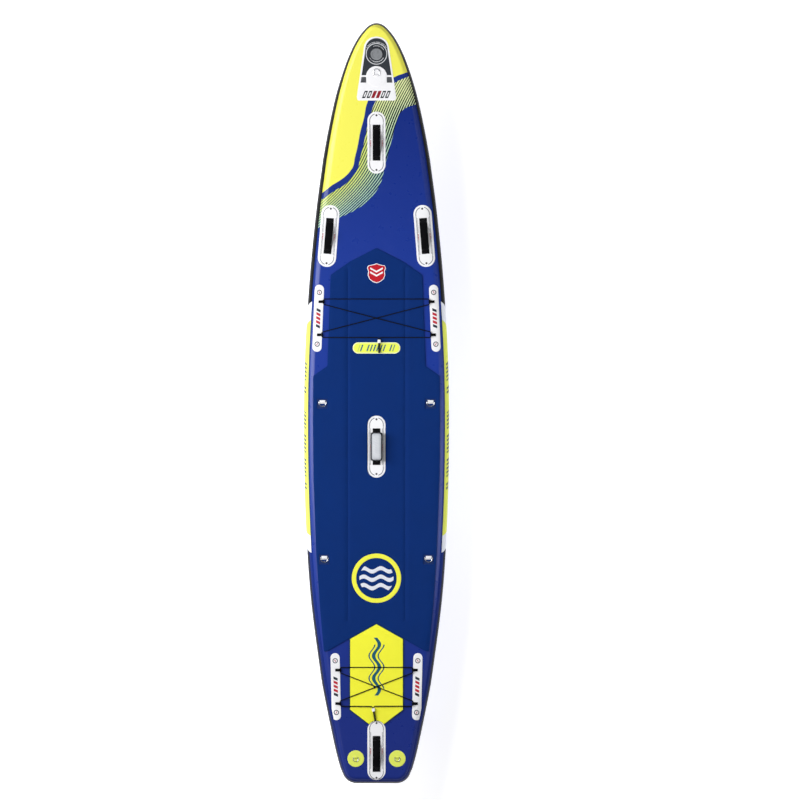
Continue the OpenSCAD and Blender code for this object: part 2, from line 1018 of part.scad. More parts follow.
module blade() {
    points = [
        for (i = [0:blade_rings], k = [0:blade_sides - 1])
            let (
                u = 0.985 * i / blade_rings,
                a = 360 * k / blade_sides,
                chord = lead(u) - trail(u),
                thick = 9.2 * (1 - u) + 2.4
            )
            [
                thick / 2 * sin(a) * sqrt(0.58 + 0.42 * cos(a)),
                trail(u) + chord * (1 + cos(a)) / 2,
                blade_top - fin_depth * u
            ]
    ];
    walls = join([
        for (i = [0:blade_rings - 1], k = [0:blade_sides - 1])
            let (a = i * blade_sides + k, b = i * blade_sides + (k + 1) % blade_sides)
            quad(a, a + blade_sides, b + blade_sides, b)
    ]);
    top = [for (k = [0:blade_sides - 1]) k];
    tip = [for (k = [blade_sides - 1:-1:0]) blade_rings * blade_sides + k];
    polyhedron(points, concat(walls, [top, tip]), convexity = 4);
}
module fin() {
    color("black")
        at_fin()
            difference() {
                union() {
                    blade();
                    block(tab_t, tab_l, blade_top - 1, -8.5);
                    translate([-tab_t / 2, tab_l / 2 - 1, -23.5])
                        cube([tab_t, 24, 4]);
                }
                translate([0, -tab_l / 2 + 9, pin_z])
                    rotate([0, 90, 0])
                        cylinder(r = 2.3, h = 20, center = true);
                translate([0, screw_y, -30])
                    cylinder(r = 2.3, h = 20);
            }
}
module fin_cross_pin() {
    color("goldenrod")
        at_fin()
            translate([0, -tab_l / 2 + 9, pin_z])
                rotate([0, 90, 0])
                    cylinder(r = 2.3, h = 15.4, center = true);
}
module fin_screw() {
    color("goldenrod")
        at_fin()
            translate([0, screw_y, 0])
                difference() {
                    union() {
                        translate([0, 0, -26.8])
                            cylinder(r = 4.2, h = 3.2);
                        translate([0, 0, -24])
                            cylinder(r = 2, h = 10.6);
                    }
                    translate([-5, -0.6, -27])
                        cube([10, 1.2, 1.6]);
                }
}
module fin_plate_nut() {
    color("silver")
        at_fin()
            translate([0, screw_y, -17.7])
                difference() {
                    translate([-7.6, -7, 0])
                        cube([15.2, 14, 3.4]);
                    translate([0, 0, -1])
                        cylinder(r = 2.05, h = 6);
                }
}

deck_skin();
bottom_skin();
rail_band();
seam_tapes();
drop_stitch_yarns();
main_deck_pad();
tail_deck_pad();
emblem_ring();
emblem_waves();
name_pill();
shield_badge();
nose_patch();
nose_ring_patch();
nose_handle_patch();
shoulder_handle_patches();
centre_handle_patch();
tail_handle_patch();
nose_handle_strap();
shoulder_handle_straps();
centre_handle_strap();
tail_handle_strap();
centre_grip_wrap();
centre_grip_pad();
front_bungee_strips();
rear_bungee_strips();
front_bungee_loops();
rear_bungee_loops();
front_bungee_cord();
rear_bungee_cord();
deck_ring_patches();
deck_ring_tabs();
tail_ring_patches();
tail_ring_tabs();
nose_ring_tab();
valve_body();
valve_nut();
fin_box();
fin_box_patch();
nose_d_ring();
deck_d_ring_front_port();
deck_d_ring_front_starboard();
deck_d_ring_rear_port();
deck_d_ring_rear_starboard();
tail_d_ring_port();
tail_d_ring_starboard();
valve_cap();
valve_cap_gasket();
valve_stem();
valve_diaphragm();
valve_spring();
front_lock_barrel();
front_lock_button();
front_lock_spring();
rear_lock_barrel();
rear_lock_button();
rear_lock_spring();
fin();
fin_cross_pin();
fin_screw();
fin_plate_nut();
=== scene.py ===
from math import acos, atan, ceil, cos, degrees, hypot, pi, radians, sin, sqrt, tan

import bpy
import bmesh
import numpy as np
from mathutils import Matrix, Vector
from mathutils.geometry import delaunay_2d_cdt


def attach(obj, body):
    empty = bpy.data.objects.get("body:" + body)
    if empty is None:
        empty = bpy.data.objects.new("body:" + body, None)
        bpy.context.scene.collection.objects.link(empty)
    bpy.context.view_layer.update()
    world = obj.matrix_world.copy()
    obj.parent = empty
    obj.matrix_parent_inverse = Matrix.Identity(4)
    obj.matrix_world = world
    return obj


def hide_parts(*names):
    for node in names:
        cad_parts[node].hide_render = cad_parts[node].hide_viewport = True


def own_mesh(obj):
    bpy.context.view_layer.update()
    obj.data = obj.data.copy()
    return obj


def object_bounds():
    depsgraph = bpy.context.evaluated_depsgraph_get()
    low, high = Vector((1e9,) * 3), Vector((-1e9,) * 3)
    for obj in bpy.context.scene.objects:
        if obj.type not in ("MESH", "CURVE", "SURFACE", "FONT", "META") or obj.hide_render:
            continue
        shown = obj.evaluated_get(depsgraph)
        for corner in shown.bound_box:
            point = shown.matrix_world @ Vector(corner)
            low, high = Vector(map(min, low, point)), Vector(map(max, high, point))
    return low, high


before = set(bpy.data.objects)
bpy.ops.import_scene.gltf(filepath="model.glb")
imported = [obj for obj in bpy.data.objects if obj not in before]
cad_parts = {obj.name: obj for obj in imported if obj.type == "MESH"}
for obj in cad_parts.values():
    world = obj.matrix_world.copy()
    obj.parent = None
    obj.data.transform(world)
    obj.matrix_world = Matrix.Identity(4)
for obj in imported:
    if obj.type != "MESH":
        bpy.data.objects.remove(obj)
cad_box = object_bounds()

MM = 0.001


def add_object(name, data):
    """A new object in the scene."""
    ob = bpy.data.objects.new(name, data)
    bpy.context.scene.collection.objects.link(ob)
    return ob


def mesh_of(name, verts, faces):
    """A mesh from points in mm, with its normals outward."""
    mesh = bpy.data.meshes.new(name)
    mesh.from_pydata([[c * MM for c in p] for p in verts], [], faces)
    bm = bmesh.new()
    bm.from_mesh(mesh)
    bmesh.ops.recalc_face_normals(bm, faces=bm.faces)
    bm.to_mesh(mesh)
    bm.free()
    return mesh


# ---- camera: straight down on the deck, nose up ----
cam_data = bpy.data.cameras.new("camera")
cam_data.type = "ORTHO"
cam_data.ortho_scale = 4.2
cam_data.clip_end = 60
camera = add_object("camera", cam_data)
camera.location = (0.1234, 0.0158, 9.0)
bpy.context.scene.camera = camera

# ---- hull shape, in mm, as in the CAD ----
BOARD_T = 150.0
HALF_T = BOARD_T / 2
TIP_Y = 1968.0
TAIL_Y = -1963.0
CORNER_R = 43.0
SKIN_T = 1.3
BAND_T = 1.2
PAD_T = 5.0
PATCH_T = 1.2
EDGE = np.array([
    [1968, 0], [1940, 42], [1900, 70], [1800, 115], [1700, 146], [1600, 171], [1400, 207],
    [1200, 235], [1000, 261], [600, 299], [200, 321], [-200, 325], [-600, 316], [-1000, 291],
    [-1400, 240], [-1700, 193], [-1900, 155], [-1960, 128]], float)
EDGE_T = np.sqrt(TIP_Y - EDGE[:, 0])


def edge_x(y):
    """Half width of the flat deck at y."""
    t = np.sqrt(np.maximum(0, TIP_Y - np.asarray(y, float)))
    k = np.clip(np.searchsorted(EDGE_T, t, side="right") - 1, 0, len(EDGE) - 2)
    a, b = np.maximum(0, np.arange(len(EDGE)) - 1), np.minimum(len(EDGE) - 1, np.arange(len(EDGE)) + 1)
    slope = (EDGE[b, 1] - EDGE[a, 1]) / (EDGE_T[b] - EDGE_T[a])
    h = EDGE_T[k + 1] - EDGE_T[k]
    s = (t - EDGE_T[k]) / h
    return (EDGE[k, 1] * (2 * s**3 - 3 * s**2 + 1) + EDGE[k + 1, 1] * (3 * s**2 - 2 * s**3)
            + h * slope[k] * (s**3 - 2 * s**2 + s) + h * slope[k + 1] * (s**3 - s**2))


# The rocker: (y where the bottom starts to rise, height at the end, length of the rise), for each end.
NOSE_RISE = (600, 190, 1395)
TAIL_RISE = (-1300, 30, 695)


def rise(y, start, height, length):
    return height * ((y - start) / length) ** 2


# The CAD's deck and bottom are flat between these stations.
STATIONS = ([(y, rise(y, *TAIL_RISE)) for y in (-2100, -2000, -1900, -1800, -1700, -1400, -1300)]
            + [(-1200, 0), (500, 0)] + [(y, rise(y, *NOSE_RISE)) for y in range(600, 2101, 100)])


def rocker_curve():
    """The CAD's stations, with each corner rounded between the middles of its neighbours."""
    knots = np.array(STATIONS, float)
    middles = (knots[1:] + knots[:-1]) / 2
    t = np.linspace(0, 1, 41)[:-1, None]
    parts = [a * (1 - t) ** 2 + 2 * k * t * (1 - t) + b * t**2
             for a, k, b in zip(middles[:-1], knots[1:-1], middles[1:])]
    return np.concatenate(parts + [middles[-1:]])


ROCKER = rocker_curve()


def rocker(y):
    return np.interp(y, ROCKER[:, 0], ROCKER[:, 1])


def deck_z(y):
    return rocker(y) + BOARD_T


def slope_at(y):
    return atan((rocker(y + 5) - rocker(y - 5)) / 10)


def rail_depth(y):
    front = 26 + 29 * np.clip((TIP_Y - y) / 700, 0, 1) ** 0.8
    rear = 32 + 23 * np.clip((y - TAIL_Y) / 500, 0, 1) ** 0.8
    return np.minimum(front, rear)


CORNER_X = float(edge_x(TAIL_Y + CORNER_R)) - CORNER_R


def make_ring():
    """The flat deck's edge as a closed line: x, y, outward normal x and y, rail depth."""
    t = np.linspace(0, sqrt(TIP_Y + 1905), 190)
    y = TIP_Y - t**2
    d = (edge_x(TIP_Y - (t + 0.05) ** 2) - edge_x(TIP_Y - np.abs(t - 0.05) ** 2) * np.where(t < 0.05, -1, 1)) / 0.1
    n = np.stack([2 * t, d], 1)
    n /= np.linalg.norm(n, axis=1)[:, None]
    side = np.column_stack([edge_x(y), y, n, rail_depth(y)])
    a = np.radians(np.linspace(-18, -90, 16))
    corner = np.column_stack([CORNER_X + CORNER_R * np.cos(a), TAIL_Y + CORNER_R + CORNER_R * np.sin(a),
                              np.cos(a), np.sin(a), np.full(16, 32.0)])
    tail = np.array([[CORNER_X * s, TAIL_Y, 0, -1, 32.0] for s in (0.75, 0.5, 0.25)])
    side = np.concatenate([side, corner, tail])
    middle = np.array([[0, TAIL_Y, 0, -1, 32.0]])
    other = side[:0:-1] * np.array([-1, 1, -1, 1, 1])
    return np.concatenate([side, middle, other]), len(side)


RING, SIDE_N = make_ring()


def hull_ring(angle, h):
    """The hull's ring of points at a rail angle (90 is the deck's edge), h outside the skin."""
    a = radians(angle)
    out = (RING[:, 4] + h) * cos(a)
    x = RING[:, 0] + out * RING[:, 2]
    y = RING[:, 1] + out * RING[:, 3]
    return np.column_stack([x, y, rocker(y) + HALF_T + (HALF_T + h) * sin(a)])


def surface(x, y, h=0.0):
    """Height of a layer h above the hull's top, over the flat deck and the round of the rails."""
    x, y = np.atleast_1d(np.asarray(x, float)), np.atleast_1d(np.asarray(y, float))
    h = np.broadcast_to(np.asarray(h, float), x.shape)
    z = rocker(y) + BOARD_T + h
    low = np.clip(TAIL_Y + CORNER_R - y, 0, CORNER_R)
    limit = np.where(y < TAIL_Y + CORNER_R, CORNER_X + np.sqrt(CORNER_R**2 - low**2), edge_x(y))
    out = (np.abs(x) > limit) | (y < TAIL_Y) | (y > TIP_Y)
    for i in np.nonzero(out)[0]:
        gap = np.hypot(RING[:, 0] - x[i], RING[:, 1] - y[i])
        k = int(gap.argmin())
        d = abs((x[i] - RING[k, 0]) * RING[k, 2] + (y[i] - RING[k, 1]) * RING[k, 3])
        reach = RING[k, 4] + h[i]
        z[i] = rocker(y[i]) + HALF_T + (HALF_T + h[i]) * sqrt(max(0.0, 1 - min(1, d / reach) ** 2))
    return z


# ---- mesh building ----
class Shape:
    """Vertices in mm, faces, a local coordinate for each vertex and a material number for each face."""

    def __init__(self):
        self.v, self.f, self.local, self.m = [], [], [], []

    def add(self, verts, faces, local=None, m=0):
        n = len(self.v)
        self.v += [tuple(float(c) for c in p) for p in verts]
        self.f += [tuple(int(i) + n for i in f) for f in faces]
        self.local += [tuple(float(c) for c in p) for p in (verts if local is None else local)]
        self.m += [m] * len(faces)
        return self

    def make(self, name, mats, node=None, slot=None, body="board", sharp=40):
        """The object, in the materials of M named in mats; it stands for the CAD node of that name."""
        mesh = mesh_of(name, self.v, self.f)
        attr = mesh.attributes.new("local", "FLOAT_VECTOR", "POINT")
        attr.data.foreach_set("vector", np.array(self.local, np.float32).ravel())
        for mat in mats.split():
            mesh.materials.append(M[mat])
        mesh.polygons.foreach_set("material_index", self.m)
        mesh.polygons.foreach_set("use_smooth", [True] * len(mesh.polygons))
        mesh.set_sharp_from_angle(angle=radians(sharp))
        ob = add_object(name, mesh)
        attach(ob, body)
        if node:
            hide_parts(node)
        return ob


def loft(rings, closed=False):
    """Quads between closed rings of equal length."""
    m, n = len(rings), len(rings[0])
    faces = []
    for i in range(m if closed else m - 1):
        j = (i + 1) % m
        for k in range(n):
            e = (k + 1) % n
            faces.append((i * n + k, i * n + e, j * n + e, j * n + k))
    return np.concatenate(rings), faces


def around(profile):
    """A closed profile of (rail angle, height) carried round the hull."""
    return loft([hull_ring(a, h) for a, h in profile], closed=True)


def skin(side):
    """A closed skin: the flat of the deck (side 1) or bottom (-1), and the rail down to the last angle."""
    inset = 6.0
    rings = []
    for h in (0, -SKIN_T):
        flat = RING[:, :2] - inset * RING[:, 2:4]
        flat = np.column_stack([flat, rocker(flat[:, 1]) + HALF_T + side * (HALF_T + h)])
        rings.append([flat] + [hull_ring(side * a, h) for a in SKIN_ANGLES])
    loops = rings[0] + rings[1][::-1]
    verts, faces = loft(loops)
    n = len(RING)
    for base in (0, (len(loops) - 1) * n):
        for i in range(SIDE_N):
            a, b = base + i, base + i + 1
            c, d = base + (n - i - 1) % n, base + (n - i) % n
            faces.append((a, b, d) if b == c else (a, b, c, d) if i else (a, b, c))
    return verts, faces


def turn_pts(p, deg, x=0.0, y=0.0):
    c, s = cos(radians(deg)), sin(radians(deg))
    p = np.asarray(p, float)
    return np.column_stack([p[:, 0] * c - p[:, 1] * s + x, p[:, 0] * s + p[:, 1] * c + y])


def circle(r, n=64, x=0.0, y=0.0):
    a = np.linspace(0, 2 * pi, n, endpoint=False)
    return np.column_stack([x + r * np.cos(a), y + r * np.sin(a)])


def stadium(w, l, n=20):
    a = np.linspace(0, pi, n)
    cap = np.column_stack([w / 2 * np.cos(a), (l - w) / 2 + w / 2 * np.sin(a)])
    return refine(np.concatenate([cap, -cap]), 14)


def rounded(w, l, r, n):
    """A rectangle's outline with rounded corners."""
    pts = []
    for q, (sx, sy) in enumerate(((1, 1), (-1, 1), (-1, -1), (1, -1))):
        a = np.radians(np.linspace(90 * q, 90 * q + 90, n))
        pts.append(np.column_stack([sx * (w / 2 - r) + r * np.cos(a), sy * (l / 2 - r) + r * np.sin(a)]))
    return np.concatenate(pts)


def rounded_box(w, l, r):
    return refine(rounded(w, l, r, 8), 8)


def strap(w, t, r=None):
    """A flat strap's cross-section with rounded selvedges."""
    return rounded(w, t, r or t * 0.45, 4)


def refine(p, step):
    """The closed line with points at most step apart."""
    out = []
    for a, b in zip(p, np.roll(p, -1, 0)):
        n = max(1, int(ceil(np.linalg.norm(b - a) / step)))
        out += [a + (b - a) * i / n for i in range(n)]
    return np.array(out)


def soften(p, r, n=4):
    """The closed line with its corners rounded to about radius r."""
    out = []
    for a, b, c in zip(np.roll(p, 1, 0), p, np.roll(p, -1, 0)):
        u, v = (a - b) / np.linalg.norm(a - b), (c - b) / np.linalg.norm(c - b)
        s, e = b + u * r, b + v * r
        out += [s * (1 - t) ** 2 + 2 * b * t * (1 - t) + e * t**2 for t in np.linspace(0, 1, n)]
    return np.array(out)


def whole(p):
    p = np.array(p, float)
    return np.concatenate([p, (p[::-1] * [-1, 1])[p[::-1, 0] != 0]])


def area(p):
    q = np.roll(p, -1, 0)
    return 0.5 * float(np.sum(p[:, 0] * q[:, 1] - q[:, 0] * p[:, 1]))


def inward(p, r):
    """The closed line moved r to its left, mitred."""
    e = np.roll(p, -1, 0) - p
    e /= np.linalg.norm(e, axis=1)[:, None]
    n = np.column_stack([-e[:, 1], e[:, 0]])
    m = n + np.roll(n, 1, 0)
    m /= np.maximum(0.35, (m * n).sum(1))[:, None]
    return p + r * m


def inside(q, loops):
    """Which points are in an odd number of the loops."""
    odd = np.zeros(len(q), bool)
    for p in loops:
        for a, b in zip(p, np.roll(p, -1, 0)):
            cross = (a[1] > q[:, 1]) != (b[1] > q[:, 1])
            with np.errstate(divide="ignore", invalid="ignore"):
                x = (b[0] - a[0]) * (q[:, 1] - a[1]) / (b[1] - a[1]) + a[0]
            odd ^= cross & (q[:, 0] < x)
    return odd


def clear_of(q, loops, gap):
    """Which points are more than gap from every loop."""
    keep = np.ones(len(q), bool)
    for p in loops:
        for a, b in zip(p, np.roll(p, -1, 0)):
            ab = b - a
            t = np.clip(((q - a) @ ab) / max(1e-9, ab @ ab), 0, 1)
            keep &= np.hypot(*(q - a - t[:, None] * ab).T) > gap
    return keep


def plate(shape, loops, thick, base, r=0.5, place=(0, 0, 0), step=25.0, top=None, lines=(), under=0.0, m=0,
          flat=None):
    """A closed layer over the hull with rounded upper edges. loops: the outline first, then the holes."""
    loops = [np.asarray(p, float) for p in loops]
    loops = [p if (area(p) > 0) == (i == 0) else p[::-1] for i, p in enumerate(loops)]
    prof = [(under * (1 - sin(a)), under * (1 - cos(a))) for a in np.radians([0, 45])] if under else [(0, 0)]
    prof += [(0, under)] if under else []
    prof += [(r * (1 - cos(a)), thick - r + r * sin(a)) for a in np.radians([0, 30, 60, 90])]
    edge = [inward(p, prof[-1][0]) for p in loops]
    allp = np.concatenate(edge)
    lo, hi = allp.min(0), allp.max(0)
    gx, gy = np.meshgrid(np.arange(lo[0] + step * 0.37, hi[0], step), np.arange(lo[1] + step * 0.41, hi[1], step))
    grid = np.column_stack([gx.ravel(), gy.ravel()])
    for line in lines:
        grid = grid[clear_of(grid, [np.asarray(line, float)], step * 0.3)]
    grid = np.concatenate([grid] + [np.asarray(p, float) for p in lines])
    grid = grid[inside(grid, edge)]
    grid = grid[clear_of(grid, edge, step * 0.28)]
    pts = np.concatenate([allp, grid])
    seg, n = [], 0
    for p in edge:
        seg += [(n + i, n + (i + 1) % len(p)) for i in range(len(p))]
        n += len(p)
    out = delaunay_2d_cdt([Vector(p) for p in pts], seg, [], 0, 1e-6)
    if any(not o for o in out[3]):
        raise ValueError(f"lines cross in the plate at {place}")
    index = [o[0] for o in out[3]]
    tri = np.array([[index[i] for i in f] for f in out[2]])
    tri = tri[inside(pts[tri].mean(1), edge)]
    rows, heights = [], []
    for inset, h in prof[:-1]:
        rows.append(np.concatenate([inward(p, inset) for p in loops]))
        heights.append(np.full(len(allp), h))
    raised = np.zeros(len(pts)) if top is None else np.array([top(*p) for p in pts])
    local = np.concatenate(rows + [pts, pts[len(allp):]])
    height = np.concatenate(heights + [thick + raised, np.zeros(len(grid))])
    top_at, low_at = len(rows) * len(allp), len(rows) * len(allp) + len(pts)
    faces = [tuple(t + top_at) for t in tri]
    faces += [tuple((t if t < len(allp) else t - len(allp) + low_at) for t in f[::-1]) for f in tri]
    for j in range(len(rows)):
        a0, b0 = j * len(allp), (j + 1) * len(allp)
        faces += [(a0 + a, a0 + b, b0 + b, b0 + a) for a, b in seg]
    at = turn_pts(local, place[2], place[0], place[1])
    z = (surface(at[:, 0], at[:, 1], base + height) if flat is None else flat + base + height)
    shape.add(np.column_stack([at, z]), faces, np.column_stack([local, height]), m)
    return shape


def sweep(shape, path, section, up=(0, 0, 1), m=0):
    """A section of (side, up) points carried along a path, with a local coordinate (side, along, up)."""
    path = np.asarray(path, float)
    n = len(path)
    rings, local, along = [], [], 0.0
    for i, p in enumerate(path):
        t = path[min(n - 1, i + 1)] - path[max(0, i - 1)]
        t = t / np.linalg.norm(t)
        side = np.cross(t, up)
        side /= np.linalg.norm(side)
        v = np.cross(side, t)
        if i:
            along += float(np.linalg.norm(p - path[i - 1]))
        sec = np.asarray(section(i) if callable(section) else section, float)
        rings.append(p + sec[:, :1] * side + sec[:, 1:] * v)
        local.append(np.column_stack([sec[:, 0], np.full(len(sec), along), sec[:, 1]]))
    verts, faces = loft(rings)
    k = len(rings[0])
    faces += [tuple(range(k))[::-1], tuple(range((n - 1) * k, n * k))]
    shape.add(verts, faces, np.concatenate(local), m)


def stitch_line(shape, pts, pitch=4.2, r=0.42):
    """Thread stitches along a line of points, each sunk at both ends, in the shape's second material."""
    gap, scale = 0.24, (0.35, 0.85, 1, 0.85, 0.35)
    pts = np.asarray(pts, float)
    d = run_lengths(pts)
    n = max(1, int(round(d[-1] / pitch)))
    for i in range(n):
        a, b = (np.array([np.interp(d[-1] * (i + k) / n, d, pts[:, c]) for c in range(3)])
                for k in (gap / 2, 1 - gap / 2))
        path = [a + (b - a) * t + [0, 0, 0.35 * sin(pi * t) - 0.1] for t in (0, 0.2, 0.5, 0.8, 1)]
        sweep(shape, path, lambda k: circle(r * scale[k], 6), m=1)


def run_lengths(path):
    """How far along its path each point is."""
    return np.concatenate([[0], np.cumsum(np.linalg.norm(np.diff(path, axis=0), axis=1))])


# ---- node materials ----
def srgb(r, g, b):
    f = lambda c: c / 12.92 if c <= 0.04045 else ((c + 0.055) / 1.055) ** 2.4
    return (f(r / 255), f(g / 255), f(b / 255), 1.0)


class Sock:
    """A node's output, which can be reckoned with like a number."""

    def __init__(self, graph, s):
        self.g, self.s = graph, s

    def above(self, edge, soft=0.4):
        """1 where this is above edge, 0 below, with a soft step."""
        return self.g.math("MULTIPLY_ADD", self - edge, 0.5 / soft, 0.5, clamp=True)

    def below(self, edge, soft=0.4):
        return 1 - self.above(edge, soft)

    def within(self, low, high, soft=0.4):
        return self.above(low, soft) * self.below(high, soft)


for word, op in (("add", "ADD"), ("sub", "SUBTRACT"), ("mul", "MULTIPLY"), ("truediv", "DIVIDE")):
    setattr(Sock, f"__{word}__", lambda a, b, op=op: a.g.math(op, a, b))
    setattr(Sock, f"__r{word}__", lambda a, b, op=op: a.g.math(op, b, a))
for word, op in (("__abs__", "ABSOLUTE"), ("frac", "FRACT"), ("sin", "SINE")):
    setattr(Sock, word, lambda a, op=op: a.g.math(op, a))


class Graph:
    """A material's nodes, in millimetres."""

    def __init__(self, name):
        self.mat = bpy.data.materials.new(name)
        self.mat.use_nodes = True
        self.t = self.mat.node_tree
        self.t.nodes.clear()
        at = self.put("ShaderNodeTexCoord", out="Object")
        self.pos = self.put("ShaderNodeVectorMath", {0: at, 3: 1 / MM}, operation="SCALE")
        self.x, self.y, self.z = self.split(self.pos)
        self.u, self.v, self.w = self.split(self.put("ShaderNodeAttribute", out="Vector", attribute_name="local"))

    def plug(self, socket, value):
        if isinstance(value, Sock):
            self.t.links.new(value.s, socket)
        else:
            socket.default_value = value

    def put(self, kind, ins=None, out=0, **props):
        n = self.t.nodes.new(kind)
        for k, v in props.items():
            setattr(n, k, v)
        for k, v in (ins or {}).items():
            self.plug(n.inputs[k], v)
        return Sock(self, n.outputs[out])

    def split(self, vec):
        n = self.t.nodes.new("ShaderNodeSeparateXYZ")
        self.plug(n.inputs[0], vec)
        return [Sock(self, o) for o in n.outputs]

    def join(self, x, y, z):
        return self.put("ShaderNodeCombineXYZ", {0: x, 1: y, 2: z})

    def math(self, op, *args, clamp=False):
        return self.put("ShaderNodeMath", dict(enumerate(args)), operation=op, use_clamp=clamp)

    def least(self, a, b):
        return self.math("MINIMUM", a, b)

    def most(self, a, b):
        return self.math("MAXIMUM", a, b)

    def dist(self, a, b):
        return self.math("SQRT", a * a + b * b)

    def mix(self, f, a, b):
        n = self.t.nodes.new("ShaderNodeMix")
        n.data_type = "RGBA"
        self.plug(n.inputs[0], f)
        self.plug(n.inputs[6], a)
        self.plug(n.inputs[7], b)
        return Sock(self, n.outputs[2])

    def noise(self, size, detail=3.0, vec=None, rough=0.55):
        """Noise from 0 to 1 with features about size mm across."""
        return self.put("ShaderNodeTexNoise", {"Vector": vec or self.pos, "Scale": 1.0 / size, "Detail": detail,
                                               "Roughness": rough})

    def curve(self, value, pts, lo, hi):
        """A smooth function through points (at, value); returns the value, for at between the first and last."""
        n = self.t.nodes.new("ShaderNodeFloatCurve")
        a0, a1 = pts[0][0], pts[-1][0]
        c = n.mapping.curves[0]
        flat = [((a - a0) / (a1 - a0), (b - lo) / (hi - lo)) for a, b in pts]
        c.points[0].location, c.points[1].location = flat[0], flat[-1]
        for p in flat[1:-1]:
            c.points.new(*p)
        for p in c.points:
            p.handle_type = "AUTO"
        n.mapping.update()
        self.plug(n.inputs["Value"], (value - a0) / (a1 - a0))
        return Sock(self, n.outputs[0]) * (hi - lo) + lo

    def done(self, colour, rough, height, depth=0.3, **fixed):
        """Ends the material. height is 0 to 1 and depth its size in mm; fixed are constant shader values."""
        p = self.t.nodes.new("ShaderNodeBsdfPrincipled")
        p.inputs["Specular IOR Level"].default_value = 0.22
        self.plug(p.inputs["Base Color"], colour)
        self.plug(p.inputs["Roughness"], rough)
        for k, v in fixed.items():
            p.inputs[k.replace("_", " ")].default_value = v
        if height is not None:
            bump = self.put("ShaderNodeBump", {"Strength": 1.0, "Distance": depth * MM, "Height": height})
            self.plug(p.inputs["Normal"], bump)
        o = self.t.nodes.new("ShaderNodeOutputMaterial")
        self.t.links.new(p.outputs[0], o.inputs[0])
        return self.mat


WHITE = srgb(240, 240, 243)
NAVY = srgb(8, 45, 112)
LEMON = srgb(240, 236, 94)
LIME = srgb(248, 247, 60)

# Boundaries of the nose print: (y, x) where each colour ends, going to starboard.
YELLOW_END = [(1020, -420), (1070, -340), (1102, -287), (1142, -235), (1168, -193), (1192, -161), (1218, -138),
              (1244, -122), (1286, -114), (1339, -101), (1423, -85), (1491, -67), (1583, -46), (1620, -22),
              (1660, 18), (1690, 58), (1714, 100), (1735, 157), (1760, 225), (1800, 330)]
STRIPE_END = [(900, -560), (1000, -400), (1066, -290), (1118, -214), (1147, -166), (1187, -130), (1223, -101),
              (1276, -88), (1339, -72), (1460, -46), (1533, -25), (1583, -4), (1640, 56), (1685, 103),
              (1711, 160), (1740, 225), (1780, 330)]
HATCH_END = [(860, -480), (914, -318), (971, -198), (1018, -103), (1060, -46), (1108, -4), (1171, 28), (1213, 38),
             (1255, 46), (1307, 62), (1360, 75), (1423, 91), (1480, 107), (1517, 122), (1546, 149), (1565, 201),
             (1590, 300)]

HATCH_LEAD = [(850, -418), (950, -295), (1030, -200), (1130, -100), (1225, -32), (1330, 15), (1520, 86), (1643, 146),
              (1740, 206), (1800, 246)]


def bumps(a, b, size, other=None):
    """A pattern of bumps and hollows, each size mm across, from -1 to 1."""
    return (a * (pi / size)).sin() * (b * (pi / (other or size))).sin()


def pvc_height(g):
    """Coated fabric: a faint base weave and orange peel, over the dimples that the drop-stitch yarns pull in."""
    grain = (bumps(g.x, g.y, 1.6) * 0.5 + 0.5) * 0.35 + g.noise(14, 2) * 0.65
    return grain * 0.35 + bumps(g.x, g.y, 5.0) * 0.15 + 0.3


def hull_colour(g):
    fore = g.mix(g.y.above(1100, 450), srgb(27, 55, 146), srgb(18, 42, 124))
    blue = g.mix(g.y.above(-1150, 500), srgb(28, 46, 126), fore)
    return g.mix(g.noise(120, 2).above(0.5, 0.5) * 0.08, blue, srgb(16, 40, 116))


def print_colour(g):
    """The deck's print: a yellow nose, a blue stripe and a band of slanted lines that fade into the blue."""
    blue = hull_colour(g)
    xc = g.curve(g.y, YELLOW_END, -450, 350)
    xa = g.curve(g.y, STRIPE_END, -600, 350)
    xb = g.curve(g.y, HATCH_END, -500, 320)
    s = (g.x - xa) / g.most(xb - xa, 20.0)
    lead = g.curve(g.y, HATCH_LEAD, -450, 260)
    pitch = g.curve(g.y, [(850, 15.5), (1130, 15.0), (1330, 13.0), (1750, 13.0)], 8, 20)
    tri = abs(((g.x - lead) / pitch).frac() - 0.5) * 2
    duty = (s * -0.26 + 0.63) + g.y.below(1000, 120) * g.x.below(-200, 60) * 0.3
    line = g.math("MULTIPLY_ADD", duty - tri, 0.5 / 0.05, 0.5, clamp=True)
    lime = g.mix(s.above(0.4, 0.45), srgb(208, 222, 92), srgb(172, 210, 184))
    lime = g.mix(g.y.above(1480, 160) * 0.85, lime, srgb(226, 236, 178))
    gap = g.mix(g.y.above(1180, 260), srgb(20, 50, 104), srgb(8, 15, 26))
    hatch = g.mix(line, gap, lime)
    c = g.mix((g.x - xb).below(0, 1.2), blue, hatch)
    c = g.mix((g.x - xa).below(0, 0.8), c, srgb(24, 48, 128))
    return g.mix((g.x - xc).below(0, 0.8), c, LEMON)


def make_hull_print():
    g = Graph("hull_print")
    c = print_colour(g)
    scuff = g.noise(90, 5, rough=0.7).above(0.62, 0.08)
    rough = (scuff * 0.05 + 0.26) + g.noise(30, 3) * 0.04
    return g.done(c, rough, pvc_height(g), 0.10, Specular_IOR_Level=0.24, Coat_Weight=0.08, Coat_Roughness=0.14)


def make_hull_bottom():
    g = Graph("hull_bottom")
    c = hull_colour(g)
    scuff = g.noise(60, 5, vec=g.join(g.x, g.y * 0.15, g.z), rough=0.72).above(0.6, 0.1)
    c = g.mix(scuff * 0.14, c, srgb(110, 120, 190))
    rough = (scuff * 0.16 + 0.28) + g.noise(30, 3) * 0.06
    return g.done(c, rough, pvc_height(g), 0.16, Coat_Weight=0.08, Coat_Roughness=0.15)


